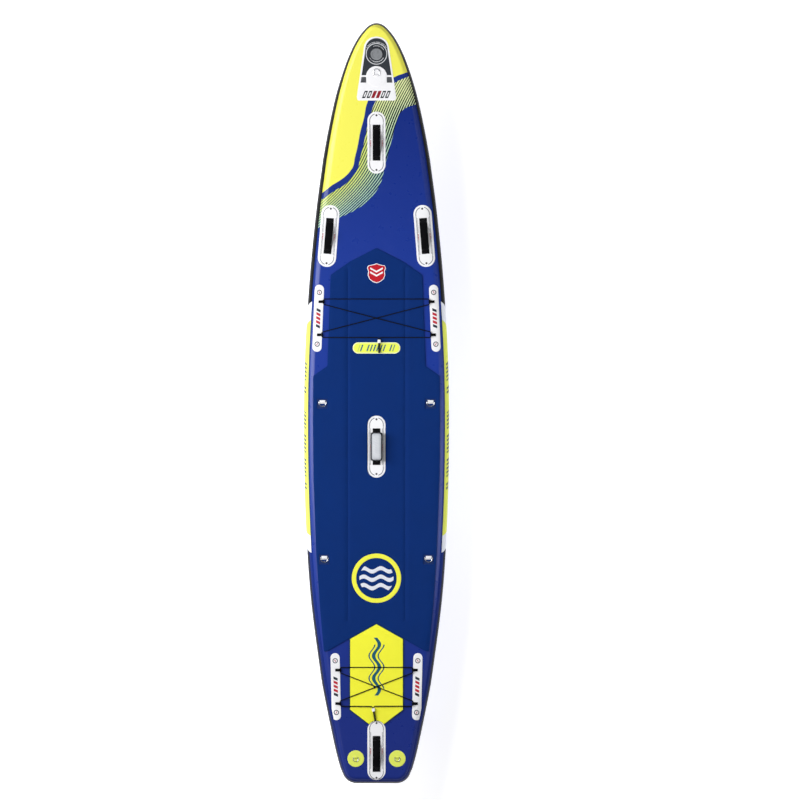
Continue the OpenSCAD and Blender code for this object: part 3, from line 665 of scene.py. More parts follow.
def above_keel(g):
    """Height over the hull's bottom, which rises at both ends."""
    front = g.most(g.y - NOSE_RISE[0], 0.0)
    rear = g.most(TAIL_RISE[0] - g.y, 0.0)
    return (g.z - front * front * (NOSE_RISE[1] / NOSE_RISE[2]**2)
            - rear * rear * (TAIL_RISE[1] / TAIL_RISE[2]**2))


def make_rail_print():
    """Black at both ends, then white, then a long yellow middle with slanted ends and plain slanted bars."""
    g = Graph("rail_print")
    edge = g.mix(g.y.above(0, 400), srgb(14, 20, 42), srgb(6, 8, 12))
    deep = g.mix(g.y.above(1650, 60) * -0.35 + 0.35, print_colour(g), srgb(8, 14, 34))
    ends = g.mix((above_keel(g) - g.y.above(0, 400) * 12).above(121, 0.8), edge, deep)
    yy = g.y - (g.z - 75) * 0.6
    rear = g.y + (g.z - 75) * 0.5
    white = srgb(232, 236, 246)
    yellow = srgb(226, 234, 100)
    c = g.mix(yy.below(497, 1.0), ends, white)
    c = g.mix(yy.below(400, 1.0), c, yellow)
    lean = g.y + (g.z - 75) * 0.4
    bars = (lean / 21).frac().within(0.22, 0.74, 0.05) * g.z.within(84, 121, 0.8)
    gate = (lean / 126).frac().within(0.06, 0.86, 0.01)
    stretch = g.most(lean.within(-440, -30, 1), lean.within(60, 260, 1))
    c = g.mix(bars * gate * stretch, c, srgb(38, 56, 92))
    c = g.mix(rear.below(-667, 1.0), c, white)
    c = g.mix(rear.below(-756, 1.0), c, ends)
    dirt = g.noise(35, 5, rough=0.7).above(0.62, 0.12)
    c = g.mix(dirt * 0.05, c, srgb(110, 112, 120))
    rough = g.noise(20, 3) * 0.10 + 0.27
    weave = bumps(g.y, g.z, 1.2) * 0.5 + 0.5
    return g.done(c, rough, weave * 0.3 + g.noise(9, 3) * 0.7, 0.14, Specular_IOR_Level=0.03)


def make_seam_tape():
    g = Graph("seam_tape")
    mid = g.y.within(-756, 497, 3)
    deep = g.mix(g.y.above(1650, 60) * -0.2 + 0.2, print_colour(g), srgb(8, 14, 34))
    c = g.mix(mid, deep, srgb(52, 70, 122))
    c = g.mix(g.noise(25, 4).above(0.5, 0.3) * mid * 0.3, c, srgb(12, 16, 30))
    weave = (g.y * (pi / 0.9)).sin() * 0.5 + 0.5
    return g.done(c, g.noise(12, 3) * 0.15 + 0.36, weave * 0.3 + g.noise(8, 3) * 0.7, 0.12, Specular_IOR_Level=0.04)


def foam(name, colour, second, fleck, much):
    """EVA foam: fine closed cells with a pinhead emboss, and flecks of another colour."""
    g = Graph(name)
    c = g.mix(g.noise(160, 3).above(0.5, 0.35) * 0.35, colour, second)
    speck = g.noise(1.1, 2)
    c = g.mix(speck.above(0.58, 0.14) * much, c, fleck)
    pin = abs(bumps(g.x + g.y, g.x - g.y, 2.4 * 1.414))
    return g.done(c, g.noise(18, 4) * 0.16 + 0.60, pin * 0.7 + speck * 0.3, 0.55, Specular_IOR_Level=0.05)


def printed_foam(g, c, size):
    """Ends a material of embossed yellow foam."""
    h = abs(bumps(g.x + g.y, g.x - g.y, 3.4)) * 0.7 + g.noise(1.2, 2) * 0.3
    return g.done(c, g.noise(size, 3) * 0.15 + 0.6, h, 0.45, Specular_IOR_Level=0.12)


def make_name_foam():
    """The yellow pill with a paler rim and slanted plain bars."""
    g = Graph("name_foam")
    half = 95.5
    d = g.dist(g.most(abs(g.u) - half, 0.0), g.v)
    c = g.mix(d.below(24.5, 0.6), srgb(240, 248, 190), srgb(232, 242, 92))
    lean = g.u - g.v * 0.35
    bar = (lean / 17.0).frac().within(0.2, 0.62, 0.04) * abs(g.v).below(17, 0.5) * lean.within(-93, 93, 0.5)
    skip = (lean / 119.0 + 0.42).frac().within(0.0, 0.84, 0.01)
    c = g.mix(bar * skip, c, srgb(42, 104, 128))
    return printed_foam(g, c, 15)


def make_tail_foam():
    """Yellow foam with a thin dark edge line and a plain wave mark down the middle."""
    g = Graph("tail_foam")
    front = (1.0 / hypot(80, 142)) * ((-1157 - g.y) * 142 - abs(g.x) * 80)
    rear = (1.0 / hypot(108, 142)) * ((g.y + 1720) * 142 - abs(g.x) * 108)
    d = g.least(g.least(front, rear), 142 - abs(g.x))
    c = g.mix(g.noise(140, 3).above(0.5, 0.35) * 0.3, LIME, srgb(228, 224, 66))
    c = g.mix(d.below(4.2, 0.5), c, srgb(40, 70, 60))
    wave = g.x - (g.y * (2 * pi / 118)).sin() * 15
    mark = abs(wave).below(9.5, 0.8) * g.y.within(-1536, -1232, 0.8)
    thin = g.least(abs(wave - 24), abs(wave + 24)).below(3.6, 0.6) * g.y.within(-1500, -1268, 0.8)
    c = g.mix(g.most(mark, thin), c, srgb(30, 92, 112))
    return printed_foam(g, c, 18)


def make_badge():
    """A red shield with a white rim and two plain chevrons."""
    g = Graph("badge_print")
    c = g.mix(g.noise(20, 3).above(0.5, 0.3) * 0.3, srgb(190, 24, 40), srgb(150, 14, 30))
    vee = g.v - abs(g.u) * 0.55
    mark = g.most(vee.within(3, 12, 0.5), vee.within(-18, -9, 0.5)) * abs(g.u).below(33, 0.5)
    c = g.mix(mark, c, WHITE)
    return g.done(c, g.noise(8, 3) * 0.12 + 0.3, g.noise(1.5, 3), 0.12)


def make_white_pvc(name, colour=WHITE, marks=None):
    """A satin PVC patch; marks adds the print."""
    g = Graph(name)
    c = g.mix(g.noise(45, 4).above(0.5, 0.35) * 0.22, colour, tuple(0.9 * k for k in colour[:3]) + (1.0,))
    if marks:
        c = marks(g, c)
    c = g.mix(g.noise(22, 6, rough=0.72).above(0.67, 0.07) * 0.10, c, srgb(150, 150, 156))
    weave = bumps(g.u, g.v, 0.8) * 0.5 + 0.5
    return g.done(c, g.noise(9, 4) * 0.14 + 0.34, weave * 0.35 + g.noise(5, 3) * 0.65, 0.10)


def handle_marks(g, c):
    """A thin dashed line inside the edge, and a dot at each end."""
    half = (326 - 95) / 2
    d = 47.5 - g.dist(g.u, g.most(abs(g.v) - half, 0.0))
    line = d.within(10.2, 13.6, 0.4)
    sides = (g.v / 7.0).frac().within(0.0, 0.74, 0.05)
    ends = abs(g.v).above(half - 8, 2)
    gate = g.most(sides, ends) * abs(g.u).above(10, 1)
    c = g.mix(line * gate, c, srgb(66, 70, 80))
    ticks = d.within(14.4, 19.4, 0.3) * (g.v / 3.1).frac().within(0.1, 0.6, 0.06) * abs(g.v).within(18, 96, 1)
    c = g.mix(ticks * 0.9, c, srgb(76, 80, 90))
    red = d.within(14.2, 19.4, 0.3) * abs(g.v + 4).below(16, 0.5) * (g.v / 8.0).frac().within(0.0, 0.7, 0.04)
    c = g.mix(red, c, srgb(170, 44, 60))
    dot = g.dist(g.u, abs(g.v) - 143.5)
    return g.mix(dot.below(5.4, 0.5), c, srgb(66, 60, 66))


def strip_marks(g, c):
    """A small ring with a dash at each end and plain slanted bars in the middle."""
    d = g.dist(g.u, abs(g.v) - 136)
    c = g.mix(d.within(9.2, 13.8, 0.4), c, srgb(58, 56, 70))
    c = g.mix(abs(g.u + (abs(g.v) - 136) * 0.5).below(2.4, 0.4) * d.below(6.6, 0.5), c, srgb(170, 48, 60))
    lean = g.v + g.u * 0.45
    bar = (lean / 21.0 + 0.5).frac().within(0.17, 0.83, 0.03) * lean.within(-52.5, 52.5, 0.4) * abs(g.u).below(11, 0.5)
    tint = g.mix(abs(lean).below(31.5, 0.4), srgb(42, 48, 60), srgb(186, 40, 56))
    return g.mix(bar, c, tint)


def nose_marks(g, c):
    """The charcoal field round the valve with a dial of ticks, dark blocks, and plain bars below."""
    x, y = g.x, g.y
    side = 64 + (1880 - y) * (40 / 276) - 9.0 - abs(x)
    cap = 58.0 - g.dist(x, y - 1858)
    field = g.most(g.least(side, 1860 - y), g.most(cap, -100.0))
    dark = field.above(0, 0.5) * y.above(1721, 0.5)
    blocks = side.above(0, 0.5) * y.within(1682, 1712, 0.5) * abs(x).above(54, 0.5)
    ridge = (y / 6.0).frac().within(0.0, 0.8, 0.08) * 0.25 + 0.75
    c = g.mix(g.most(dark, blocks * ridge), c, g.mix(g.noise(30, 3), srgb(38, 42, 48), srgb(54, 58, 64)))
    r = g.dist(x, y - 1833)
    a = g.math("ARCTAN2", y - 1833, x) * (180 / pi)
    ring = r.within(52.6, 55.8, 0.4)
    tick = r.within(40.5, 44.5, 0.4) * (a / 5.0).frac().within(0.15, 0.62, 0.05)
    tick = tick * g.most(abs(abs(a) - 90).below(24, 0.5), abs(a).within(28, 60, 0.5))
    arc = r.within(40.0, 41.6, 0.3) * (abs(a + 90).below(62, 1)) * (a / 15).frac().within(0.0, 0.86, 0.02)
    top = r.within(58.5, 64.0, 0.4) * (a / 3.4).frac().within(0.2, 0.64, 0.06) * abs(a - 90).below(58, 0.6)
    top = top * (a / 23.8).frac().within(0.0, 0.86, 0.02)
    dial = g.most(g.most(ring, tick), g.most(arc, top)) * g.most(field.above(0, 0.5), ring)
    c = g.mix(dial, c, srgb(226, 228, 232))
    lean = x - (y - 1620) * 0.4
    bar = (lean / 24.0).frac().within(0.12, 0.84, 0.03) * lean.within(-72, 72, 0.5) * abs(y - 1620).below(19, 0.6)
    inner = (lean / 24.0).frac().within(0.36, 0.62, 0.03) * abs(y - 1620).below(11, 0.5) * abs(lean).above(24, 0.3)
    c = g.mix(bar, c, g.mix(abs(lean).below(24, 0.3), srgb(38, 42, 48), srgb(140, 26, 40)))
    return g.mix(bar * inner, c, WHITE)


def make_webbing():
    """Black nylon webbing: herringbone ribs along the strap."""
    g = Graph("webbing")
    zig = abs((g.u / 7.0).frac() - 0.5) * 2
    twill = ((g.v / 1.5 + zig * 1.6) * (2 * pi)).sin() * 0.5 + 0.5
    c = g.mix(twill * 0.45, srgb(6, 6, 8), srgb(24, 24, 27))
    c = g.mix(g.noise(1.3, 2).above(0.6, 0.1) * 0.2, c, srgb(34, 34, 38))
    return g.done(c, twill * 0.12 + 0.55, twill * 0.75 + g.noise(0.8, 2) * 0.25, 0.35, Specular_IOR_Level=0.03)


def thread(name, a, b):
    g = Graph(name)
    twist = ((g.v * 2.2 + g.u * 1.5) * pi).sin() * 0.5 + 0.5
    return g.done(g.mix(twist, a, b), g.noise(1.5, 2) * 0.1 + 0.5, twist, 0.08, Sheen_Weight=0.2)


def make_neoprene():
    g = Graph("neoprene")
    knit = bumps(g.x, g.y, 0.55, 0.8) * 0.5 + 0.5
    c = g.mix(g.noise(12, 3), srgb(12, 12, 14), srgb(26, 26, 30))
    return g.done(c, g.noise(6, 3) * 0.12 + 0.62, knit * 0.6 + g.noise(2, 3) * 0.4, 0.25, Specular_IOR_Level=0.05,
                  Sheen_Weight=0.05, Sheen_Roughness=0.4)


def make_grip():
    g = Graph("grip_foam")
    worn = g.noise(22, 4).above(0.5, 0.3)
    c = g.mix(worn * 0.4, srgb(206, 209, 214), srgb(178, 182, 190))
    # Painted shade: the grip's low parts, its sides and the grooves between the raised waves, are darkened.
    c = g.mix(g.w.below(9.3, 0.8) * 0.55, c, srgb(140, 144, 152))
    return g.done(c, g.noise(5, 3) * 0.15 + 0.42, g.noise(0.9, 3), 0.18, Specular_IOR_Level=0.5)


def make_cord():
    """Braided sleeve: two families of strands round the elastic core, with a fine grey fleck."""
    g = Graph("cord_braid")
    p, q = (((g.v / 3.4 + g.u * k) * (2 * pi)).sin() for k in (4, -4))
    h = g.most(p, q) * 0.5 + 0.5
    fleck = (p * q).above(0.55, 0.2)
    c = g.mix(h, srgb(5, 6, 11), srgb(18, 21, 32))
    c = g.mix(fleck * 0.2, c, srgb(52, 60, 84))
    return g.done(c, g.noise(2, 2) * 0.1 + 0.5, h, 0.3, Specular_IOR_Level=0.06)


def metal(name, a, b, size, detail, spread, least, depth=0.03, drawn=1.0):
    """Metal with fine hairlines; drawn below 1 stretches them across the board."""
    g = Graph(name)
    hair = g.noise(size, detail, vec=g.join(g.x * drawn, g.y, g.z), rough=0.7)
    return g.done(g.mix(hair, a, b), hair * spread + least, hair, depth, Metallic=1.0)


def moulded(name, a, b, rough, grain=0.8, depth=0.06, painted_glints=0.0):
    """Moulded nylon or rubber with a spark-eroded grain."""
    g = Graph(name)
    c = g.mix(g.noise(14, 4).above(0.5, 0.35), a, b)
    # Painted reflection: pale mottled spots over the nylon's colour.
    if painted_glints:
        c = g.mix(g.noise(5, 5, rough=0.7).above(0.6, 0.08) * painted_glints, c, srgb(190, 192, 196))
    cells = g.put("ShaderNodeTexVoronoi", {"Vector": g.pos, "Scale": 1.0 / (grain * 1.5)}, feature="F1")
    return g.done(c, g.noise(6, 3) * 0.14 + rough, g.noise(grain, 3) * 0.6 + cells * 0.4, depth)


def make_yarn():
    g = Graph("yarn")
    c = g.mix(g.noise(2, 3), srgb(214, 214, 210), srgb(240, 240, 238))
    return g.done(c, g.noise(3, 2) * 0.1 + 0.7, g.noise(0.5, 2), 0.05, Sheen_Weight=0.3)


def make_fin():
    """Glass-filled nylon with flow marks down the blade."""
    g = Graph("fin_nylon")
    flow = g.noise(26, 4, vec=g.join(g.x, g.y * 0.35, g.z), rough=0.6)
    c = g.mix(flow, srgb(20, 20, 23), srgb(36, 36, 40))
    c = g.mix(g.noise(3, 5, rough=0.75).above(0.64, 0.05) * 0.2, c, srgb(92, 92, 98))
    return g.done(c, flow * 0.18 + 0.34, g.noise(1.1, 3) * 0.6 + flow * 0.4, 0.10)


M = {
    "hull": make_hull_print(), "bottom": make_hull_bottom(), "rail": make_rail_print(), "tape": make_seam_tape(),
    "navy": foam("navy_foam", NAVY, srgb(13, 40, 94), srgb(50, 84, 150), 0.07),
    "yellow": foam("yellow_foam", LIME, srgb(226, 222, 60), srgb(230, 232, 236), 0.16),
    "white_foam": foam("white_foam", srgb(228, 230, 240), srgb(212, 215, 230), srgb(230, 232, 236), 0.16),
    "name": make_name_foam(), "tail": make_tail_foam(), "badge": make_badge(),
    "white": make_white_pvc("white_pvc"), "handle": make_white_pvc("handle_patch_print", marks=handle_marks),
    "strip": make_white_pvc("strip_print", marks=strip_marks),
    "nose": make_white_pvc("nose_patch_print", marks=nose_marks),
    "navy_pvc": make_white_pvc("navy_pvc", srgb(16, 44, 100)),
    "yellow_pvc": make_white_pvc("yellow_pvc", srgb(226, 236, 100)),
    "web": make_webbing(), "thread": thread("thread", srgb(26, 26, 30), srgb(54, 54, 60)),
    "grey_thread": thread("grey_thread", srgb(120, 122, 128), srgb(168, 170, 176)),
    "neoprene": make_neoprene(), "grip": make_grip(), "cord": make_cord(),
    "steel": metal("polished_steel", srgb(196, 199, 204), srgb(226, 228, 232), 1.6, 4, 0.16, 0.14, drawn=0.15),
    "spring": metal("spring_steel", srgb(150, 152, 156), srgb(192, 194, 198), 0.8, 3, 0.2, 0.22),
    "brass": metal("brass", srgb(186, 146, 74), srgb(214, 178, 104), 1.2, 4, 0.2, 0.24, depth=0.04),
    "grey": moulded("grey_nylon", srgb(120, 123, 127), srgb(142, 145, 149), 0.34, painted_glints=0.25),
    "dark": moulded("charcoal_nylon", srgb(44, 47, 52), srgb(56, 59, 64), 0.38),
    "pale": moulded("pale_nylon", srgb(216, 216, 212), srgb(232, 232, 228), 0.32),
    "lock": moulded("white_nylon", srgb(232, 232, 234), srgb(246, 246, 247), 0.28),
    "rubber": moulded("black_rubber", srgb(20, 20, 21), srgb(30, 30, 31), 0.55, grain=0.5),
    "black": moulded("black_nylon", srgb(22, 22, 24), srgb(32, 32, 35), 0.40),
    "yarn": make_yarn(), "fin": make_fin(),
}


def paint(mesh, mat):
    """One material for every face."""
    mesh.materials.clear()
    mesh.materials.append(M[mat])
    mesh.polygons.foreach_set("material_index", [0] * len(mesh.polygons))


# ---- hull ----
SKIN_ANGLES = [90, 88, 85, 82, 79, 76, 73, 70, 67, 64, 61, 58, 55, 52, 49, 46, 42, 38, 34, 30]
VALVE_Y, VALVE_R = 1833, 29


def cut_hole(ob, r, y):
    """A round hole through the deck, square to it."""
    n = 48
    s = slope_at(y)
    verts = [(u, y + v * cos(s) - h * sin(s), float(deck_z(y)) + v * sin(s) + h * cos(s))
             for h in (-20, 20) for u, v in circle(r, n)]
    faces = [(i, (i + 1) % n, n + (i + 1) % n, n + i) for i in range(n)]
    faces += [tuple(range(n))[::-1], tuple(range(n, 2 * n))]
    cutter = add_object("cutter", mesh_of("cutter", verts, faces))
    mod = ob.modifiers.new("hole", "BOOLEAN")
    mod.operation, mod.solver, mod.object = "DIFFERENCE", "EXACT", cutter
    dg = bpy.context.evaluated_depsgraph_get()
    done = bpy.data.meshes.new_from_object(ob.evaluated_get(dg))
    ob.modifiers.clear()
    ob.data = done
    bpy.data.objects.remove(cutter)


deck = Shape().add(*skin(1)).make("hull_deck_skin", "hull", "deck_skin", "hull_print", sharp=50)
cut_hole(deck, VALVE_R, VALVE_Y)
Shape().add(*skin(-1)).make("hull_bottom_skin", "bottom", "bottom_skin", "hull_bottom", sharp=50)
band = [(52, 0.5), (51.9, 0.9)] + [(a, BAND_T) for a in np.linspace(51.4, -51.4, 40)]
band += [(-51.9, 0.9), (-52, 0.5)] + [(a, 0.0) for a in np.linspace(-52, 52, 20)]
Shape().add(*around(band)).make("glued_rail_band", "rail", "rail_band", "rail", sharp=60)
TAPE = ((58, 0.3), (57.6, 0.9), (57, BAND_T), (55, BAND_T + 0.15), (53, BAND_T), (52.2, 1.0), (52, 0.4), (52, 0),
        (55, 0), (58, 0))
tapes = Shape()
for side in (1, -1):
    tapes.add(*around([(side * a, h) for a, h in TAPE]))
tapes.make("welded_seam_tapes", "tape", "seam_tapes", "seam_tape", sharp=60)

# ---- deck pads ----
PAD_SIDE = [(0, 814), (139, 743), (241, 672), (258, 194), (333, 142), (334, -100), (331, -400), (316, -800),
            (295, -1100), (276, -1306), (250, -1299), (144, -1238), (0, -1157)]
HEX_SIDE = [(0, -1157), (142, -1237), (142, -1612), (0, -1720)]
CENTRE_Y = -229
EMBLEM_Y = -920
PILL_Y = 289
DECK_RINGS = [(284, 6), (274, -812)]
GAP = 0.35
GROOVE_X = 150.0


def clip(p, edge):
    """The part of a closed line inside a convex one."""
    for a, b in zip(edge, np.roll(edge, -1, 0)):
        n = np.array([a[1] - b[1], b[0] - a[0]])
        side = (p - a) @ n
        out = []
        for i in range(len(p)):
            j = (i + 1) % len(p)
            if side[i] >= 0:
                out.append(p[i])
            if (side[i] >= 0) != (side[j] >= 0):
                out.append(p[i] + (p[j] - p[i]) * side[i] / (side[i] - side[j]))
        p = np.array(out)
    keep = [p[0]]
    for q in p[1:]:
        if np.linalg.norm(q - keep[-1]) > 3 and np.linalg.norm(q - keep[0]) > 3:
            keep.append(q)
    return np.array(keep)


def wave_line(y):
    x = np.arange(-98, 98.1, 3.5)
    mid = y + 9 * np.sin(np.radians(4 * x))
    band = np.concatenate([np.column_stack([x, mid - 11]), np.column_stack([x, mid + 11])[::-1]])
    return clip(band, circle(90, 120))


waves = [wave_line(y) for y in (-44, 0, 44)]


def window(x, y):
    """The opening in the pad round a deck ring."""
    return refine(soften(np.array([x, y]) + [[-27, -36], [27, -36], [27, 16], [-27, 16]], 3), 10)


pad_loops = [refine(soften(whole(PAD_SIDE), 7), 18), stadium(96, 327) + [0, CENTRE_Y],
             turn_pts(stadium(60, 251), 90, 0, PILL_Y), circle(130, 96, 0, EMBLEM_Y)]
pad_loops += [window(s * x, y) for x, y in DECK_RINGS for s in (1, -1)]


def groove(x, y):
    d = abs(abs(x) - GROOVE_X)
    return -1.1 * max(0.0, 1 - (d / 2.1) ** 2) if -1150 < y < 700 else 0.0


groove_lines = [[(s * GROOVE_X + off, y) for y in np.arange(-1180, 700, 14.0)]
                for s in (1, -1) for off in (-2.1, -1.0, 0, 1.0, 2.1)]
pad = Shape()
plate(pad, pad_loops, PAD_T, 0, r=1.6, step=24, top=groove, lines=groove_lines)
plate(pad, [circle(106, 90)] + waves, PAD_T, 0, r=1.2, place=(0, EMBLEM_Y, 0), step=12)
pad_ob = pad.make("main_deck_pad_foam", "navy", "main_deck_pad", "navy_foam")

# The tail pad is a hexagon with room for the handle's patch.
hexagon = whole(HEX_SIDE)
notch = stadium(98, 313) + [0, -1824]
hex_pts = refine(hexagon, 10)
arc = notch[inside(notch, [hexagon])]
arc = arc[np.argsort(arc[:, 0])]
keep = hex_pts[~inside(hex_pts, [notch])]
turn = np.arctan2(keep[:, 0], -(keep[:, 1] + 1430))
keep, turn = keep[np.argsort(turn)], np.sort(turn)
tail_loop = np.concatenate([arc, keep[turn > 0], keep[turn <= 0]])
tail_ob = plate(Shape(), [tail_loop], PAD_T, 0, r=1.4, step=16).make(
    "tail_deck_pad_foam", "tail", "tail_deck_pad", "yellow_foam")

AT_EMBLEM = (0, EMBLEM_Y, 0)
INLAY_T = PAD_T + 0.3
plate(Shape(), [circle(130 - GAP, 110), circle(106 + GAP, 96)], INLAY_T, 0, r=1.2, place=AT_EMBLEM, step=9).make(
    "emblem_ring_inlay", "yellow", "emblem_ring", "yellow_foam")
s = Shape()
for w in waves:
    plate(s, [inward(w if area(w) > 0 else w[::-1], GAP)], INLAY_T, 0, r=0.7, place=AT_EMBLEM, step=8)
s.make("emblem_wave_inlays", "white_foam", "emblem_waves", "white_foam")
plate(Shape(), [stadium(60 - 2 * GAP, 251 - 2 * GAP)[:, ::-1]], INLAY_T, 0, r=1.3, place=(0, PILL_Y, 0), step=10).make(
    "name_plate_inlay", "name", "name_pill", "yellow_foam")
BADGE = [(0, 52), (14, 46), (44, 40), (50, 26), (43, 10), (46, -10), (38, -32), (20, -46), (0, -53)]
badge = refine(soften(whole(BADGE), 4), 6)
if area(badge) < 0:
    badge = badge[::-1]
s = plate(Shape(), [badge], 0.9, PAD_T, r=0.4, place=(0, 682, 0), step=8, m=1)
plate(s, [inward(badge, 3.6)], 1.25, PAD_T, r=0.35, place=(0, 682, 0), step=6)
s.make("shield_badge_patch", "badge white", "shield_badge", "badge")

# ---- patches ----
NOSE_SIDE = [(0, 1925), (30, 1919), (52, 1903), (64, 1880), (104, 1604), (98, 1588), (0, 1588)]
nose = refine(soften(whole(NOSE_SIDE), 6), 10)
plate(Shape(), [nose, circle(VALVE_R, 60, 0, VALVE_Y)], PATCH_T, 0, step=14).make(
    "nose_patch_pvc", "nose", "nose_patch", "white_pvc")
plate(Shape(), [circle(55, 72)], PATCH_T, PATCH_T, place=(0, 1714, 0), step=12).make(
    "nose_ring_patch_pvc", "white", "nose_ring_patch", "white_pvc")
TAPE_EDGE = refine(hull_ring(58.6, 0)[:, :2], 1.5)


def trimmed(loop, x, y, turn):
    """An outline whose points past the seam tape's inner edge are moved back to it."""
    at = turn_pts(refine(loop, 4), turn, x, y)
    for i in np.nonzero(~inside(at, [TAPE_EDGE]))[0]:
        at[i] = TAPE_EDGE[np.hypot(*(TAPE_EDGE - at[i]).T).argmin()]
    kept = [at[0]]
    for p in at[1:]:
        if np.hypot(*(p - kept[-1])) > 2 and np.hypot(*(p - kept[0])) > 2:
            kept.append(p)
    return turn_pts(np.array(kept) - [x, y], -turn)


# Extra rows of points where the tail patch bends over the stern's tight edge.
STERN_ROWS = [[(u, v) for u in range(-42, 43, 7)] for v in (-139, -142, -145, -148, -151, -153)]
SHOULDERS = [(251, 877, 4.5), (-251, 877, -4.5)]

# Node, print, width, length, step of the grid, and places (x, y, turn).
PATCHES = [
    ("nose_handle_patch", "handle", 95, 326, 12, [(0, 1367, 0)]),
    ("shoulder_handle_patches", "handle", 95, 326, 12, SHOULDERS),
    ("centre_handle_patch", "handle", 95, 326, 12, [(0, CENTRE_Y, 0)]),
    ("tail_handle_patch", "handle", 95, 310, 12, [(0, -1824, 0)]),
    ("front_bungee_strips", "strip", 48, 352, 9, [(306, 445, 2.4), (-306, 445, -2.4)]),
    ("rear_bungee_strips", "strip", 48, 352, 9, [(214, -1489, -1.3), (-214, -1489, 1.3)]),
]
for node, mat, w, l, step, places in PATCHES:
    s = Shape()
    for x, y, a in places:
        plate(s, [trimmed(stadium(w, l), x, y, a)], PATCH_T, 0, place=(x, y, a), step=step,
              lines=STERN_ROWS if node == "tail_handle_patch" else ())
    s.make(node + "_pvc", mat, node, "white_pvc")
s = Shape()
for x, y in DECK_RINGS:
    for side in (1, -1):
        plate(s, [rounded_box(53, 51, 3)], PATCH_T, 0, r=0.4, place=(side * x, y - 10, 0), step=12)
s.make("deck_ring_base_patches", "navy_pvc", "deck_ring_patches", "navy_pvc")
s = Shape()
for side in (1, -1):
    plate(s, [circle(43.5, 64)], PATCH_T, 0, place=(side * 109, -1867, 0), step=12)
s.make("tail_ring_base_patches", "yellow_pvc", "tail_ring_patches", "yellow_pvc")


# ---- straps on the deck ----
def lifted(x, y, h, base=PATCH_T):
    """A point h above the deck at (x, y), leaning with the deck above its base."""
    a = slope_at(y)
    return (x, y - sin(a) * (h - base), float(surface(x, y, base)[0]) + (h - base) * cos(a))


def flat_handle(shape, x, y, turn):
    """A carry strap: two sewn feet with an arch between them."""
    l, w, t, foot, top = 188.0, 40.0, 2.4, 26.0, 19.0
    span = (l - 2 * foot) / 2 + 8

    def at(u, v, h):
        return lifted(*turn_pts([[u, v]], turn, x, y)[0], h)

    arch = lambda v: top * (1 + cos(pi * min(1.0, abs(v) / span))) / 2
    sweep(shape, [at(0, v, PATCH_T + t / 2 + 0.02 + arch(v)) for v in np.linspace(-l / 2, l / 2, 64)], strap(w, t))
    for sgn in (-1, 1):
        v0, v1 = sgn * (l / 2 - 3), sgn * (l / 2 - foot + 3)
        corners = np.array([(-w / 2 + 4, v0), (w / 2 - 4, v0), (w / 2 - 4, v1), (-w / 2 + 4, v1)])
        for a, b in ((0, 1), (1, 2), (2, 3), (3, 0), (0, 2), (1, 3)):
            run = [corners[a] * (1 - k) + corners[b] * k for k in np.linspace(0, 1, 6)]
            stitch_line(shape, [at(u, v, PATCH_T + t + 0.12) for u, v in run])


STRAPS = {"nose_handle_strap": [(0, 1367, 0)], "shoulder_handle_straps": SHOULDERS,
          "tail_handle_strap": [(0, -1842, 0)]}
for node, places in STRAPS.items():
    s = Shape()
    for place in places:
        flat_handle(s, *place)
    s.make(node + "_webbing", "web thread", node, "webbing", sharp=60)

# ---- padded centre handle ----
leg = [(-96, 0.0), (-88, 0.0), (-80, 0.2), (-76.5, 1.8), (-74.6, 5), (-73.6, 12), (-72.2, 20), (-70.5, 29),
       (-68.6, 34), (-65, 36.6), (-58, 37.2), (-40, 37.3), (-20, 37.3), (0, 37.3)]
line = leg + [(-a, b) for a, b in leg[-2::-1]]
seam_z = BOARD_T + 3.7
s = Shape()
sweep(s, [(0, CENTRE_Y + a, BOARD_T + PATCH_T + 1.25 + b) for a, b in line], strap(40, 2.4))
for sgn in (-1, 1):
    for u in (-14, 14):
        stitch_line(s, [(u, CENTRE_Y + sgn * v, seam_z) for v in (94, 81)])
    for v in (93, 82):
        stitch_line(s, [(u, CENTRE_Y + sgn * v, seam_z) for u in (-16, 16)])
s.make("centre_handle_strap_webbing", "web thread", "centre_handle_strap", "webbing", sharp=60)


def pillow(x, y):
    """The wrap's top, lower towards its edges."""
    return 0.8 * (1 - min(1, abs(x) / 31) ** 4) * (1 - min(1, abs(y) / 76) ** 6)


def emboss(x, y):
    """A crowned grip with plain raised waves across it."""
    crown = 2.2 * (1 - min(1, abs(x) / 25) ** 2.5) * (1 - min(1, abs(y) / 70) ** 8)
    k = (y + 5 * sin(x / 25 * pi)) / 13.0 % 1.0
    inner = max(0.0, 1 - (abs(x) / 17) ** 8) * max(0.0, 1 - (abs(y) / 55) ** 14)
    return crown + 0.9 * inner * max(0.0, sin(2 * pi * k)) ** 0.6 - 0.6


centre = dict(place=(0, CENTRE_Y, 0), flat=BOARD_T)
outline = rounded_box(63, 152, 14)
s = plate(Shape(), [outline], 9.2, 34.0, r=3.2, under=3.0, step=6, top=pillow, **centre)
rim = inward(outline, 2.6)
stitch_line(s, [(x, CENTRE_Y + y, BOARD_T + 43.2) for x, y in np.concatenate([rim, rim[:1]])], pitch=4.6, r=0.5)
wrap = s.make("centre_grip_wrap_neoprene", "neoprene grey_thread", "centre_grip_wrap", "neoprene", sharp=60)
s = plate(Shape(), [rounded_box(50, 139, 12)], 8.6, 44.1, r=3.4, under=1.2, step=2.2, top=emboss, **centre)
grip = s.make("centre_grip_pad_moulded", "grip", "centre_grip_pad", "grip_foam", sharp=70)

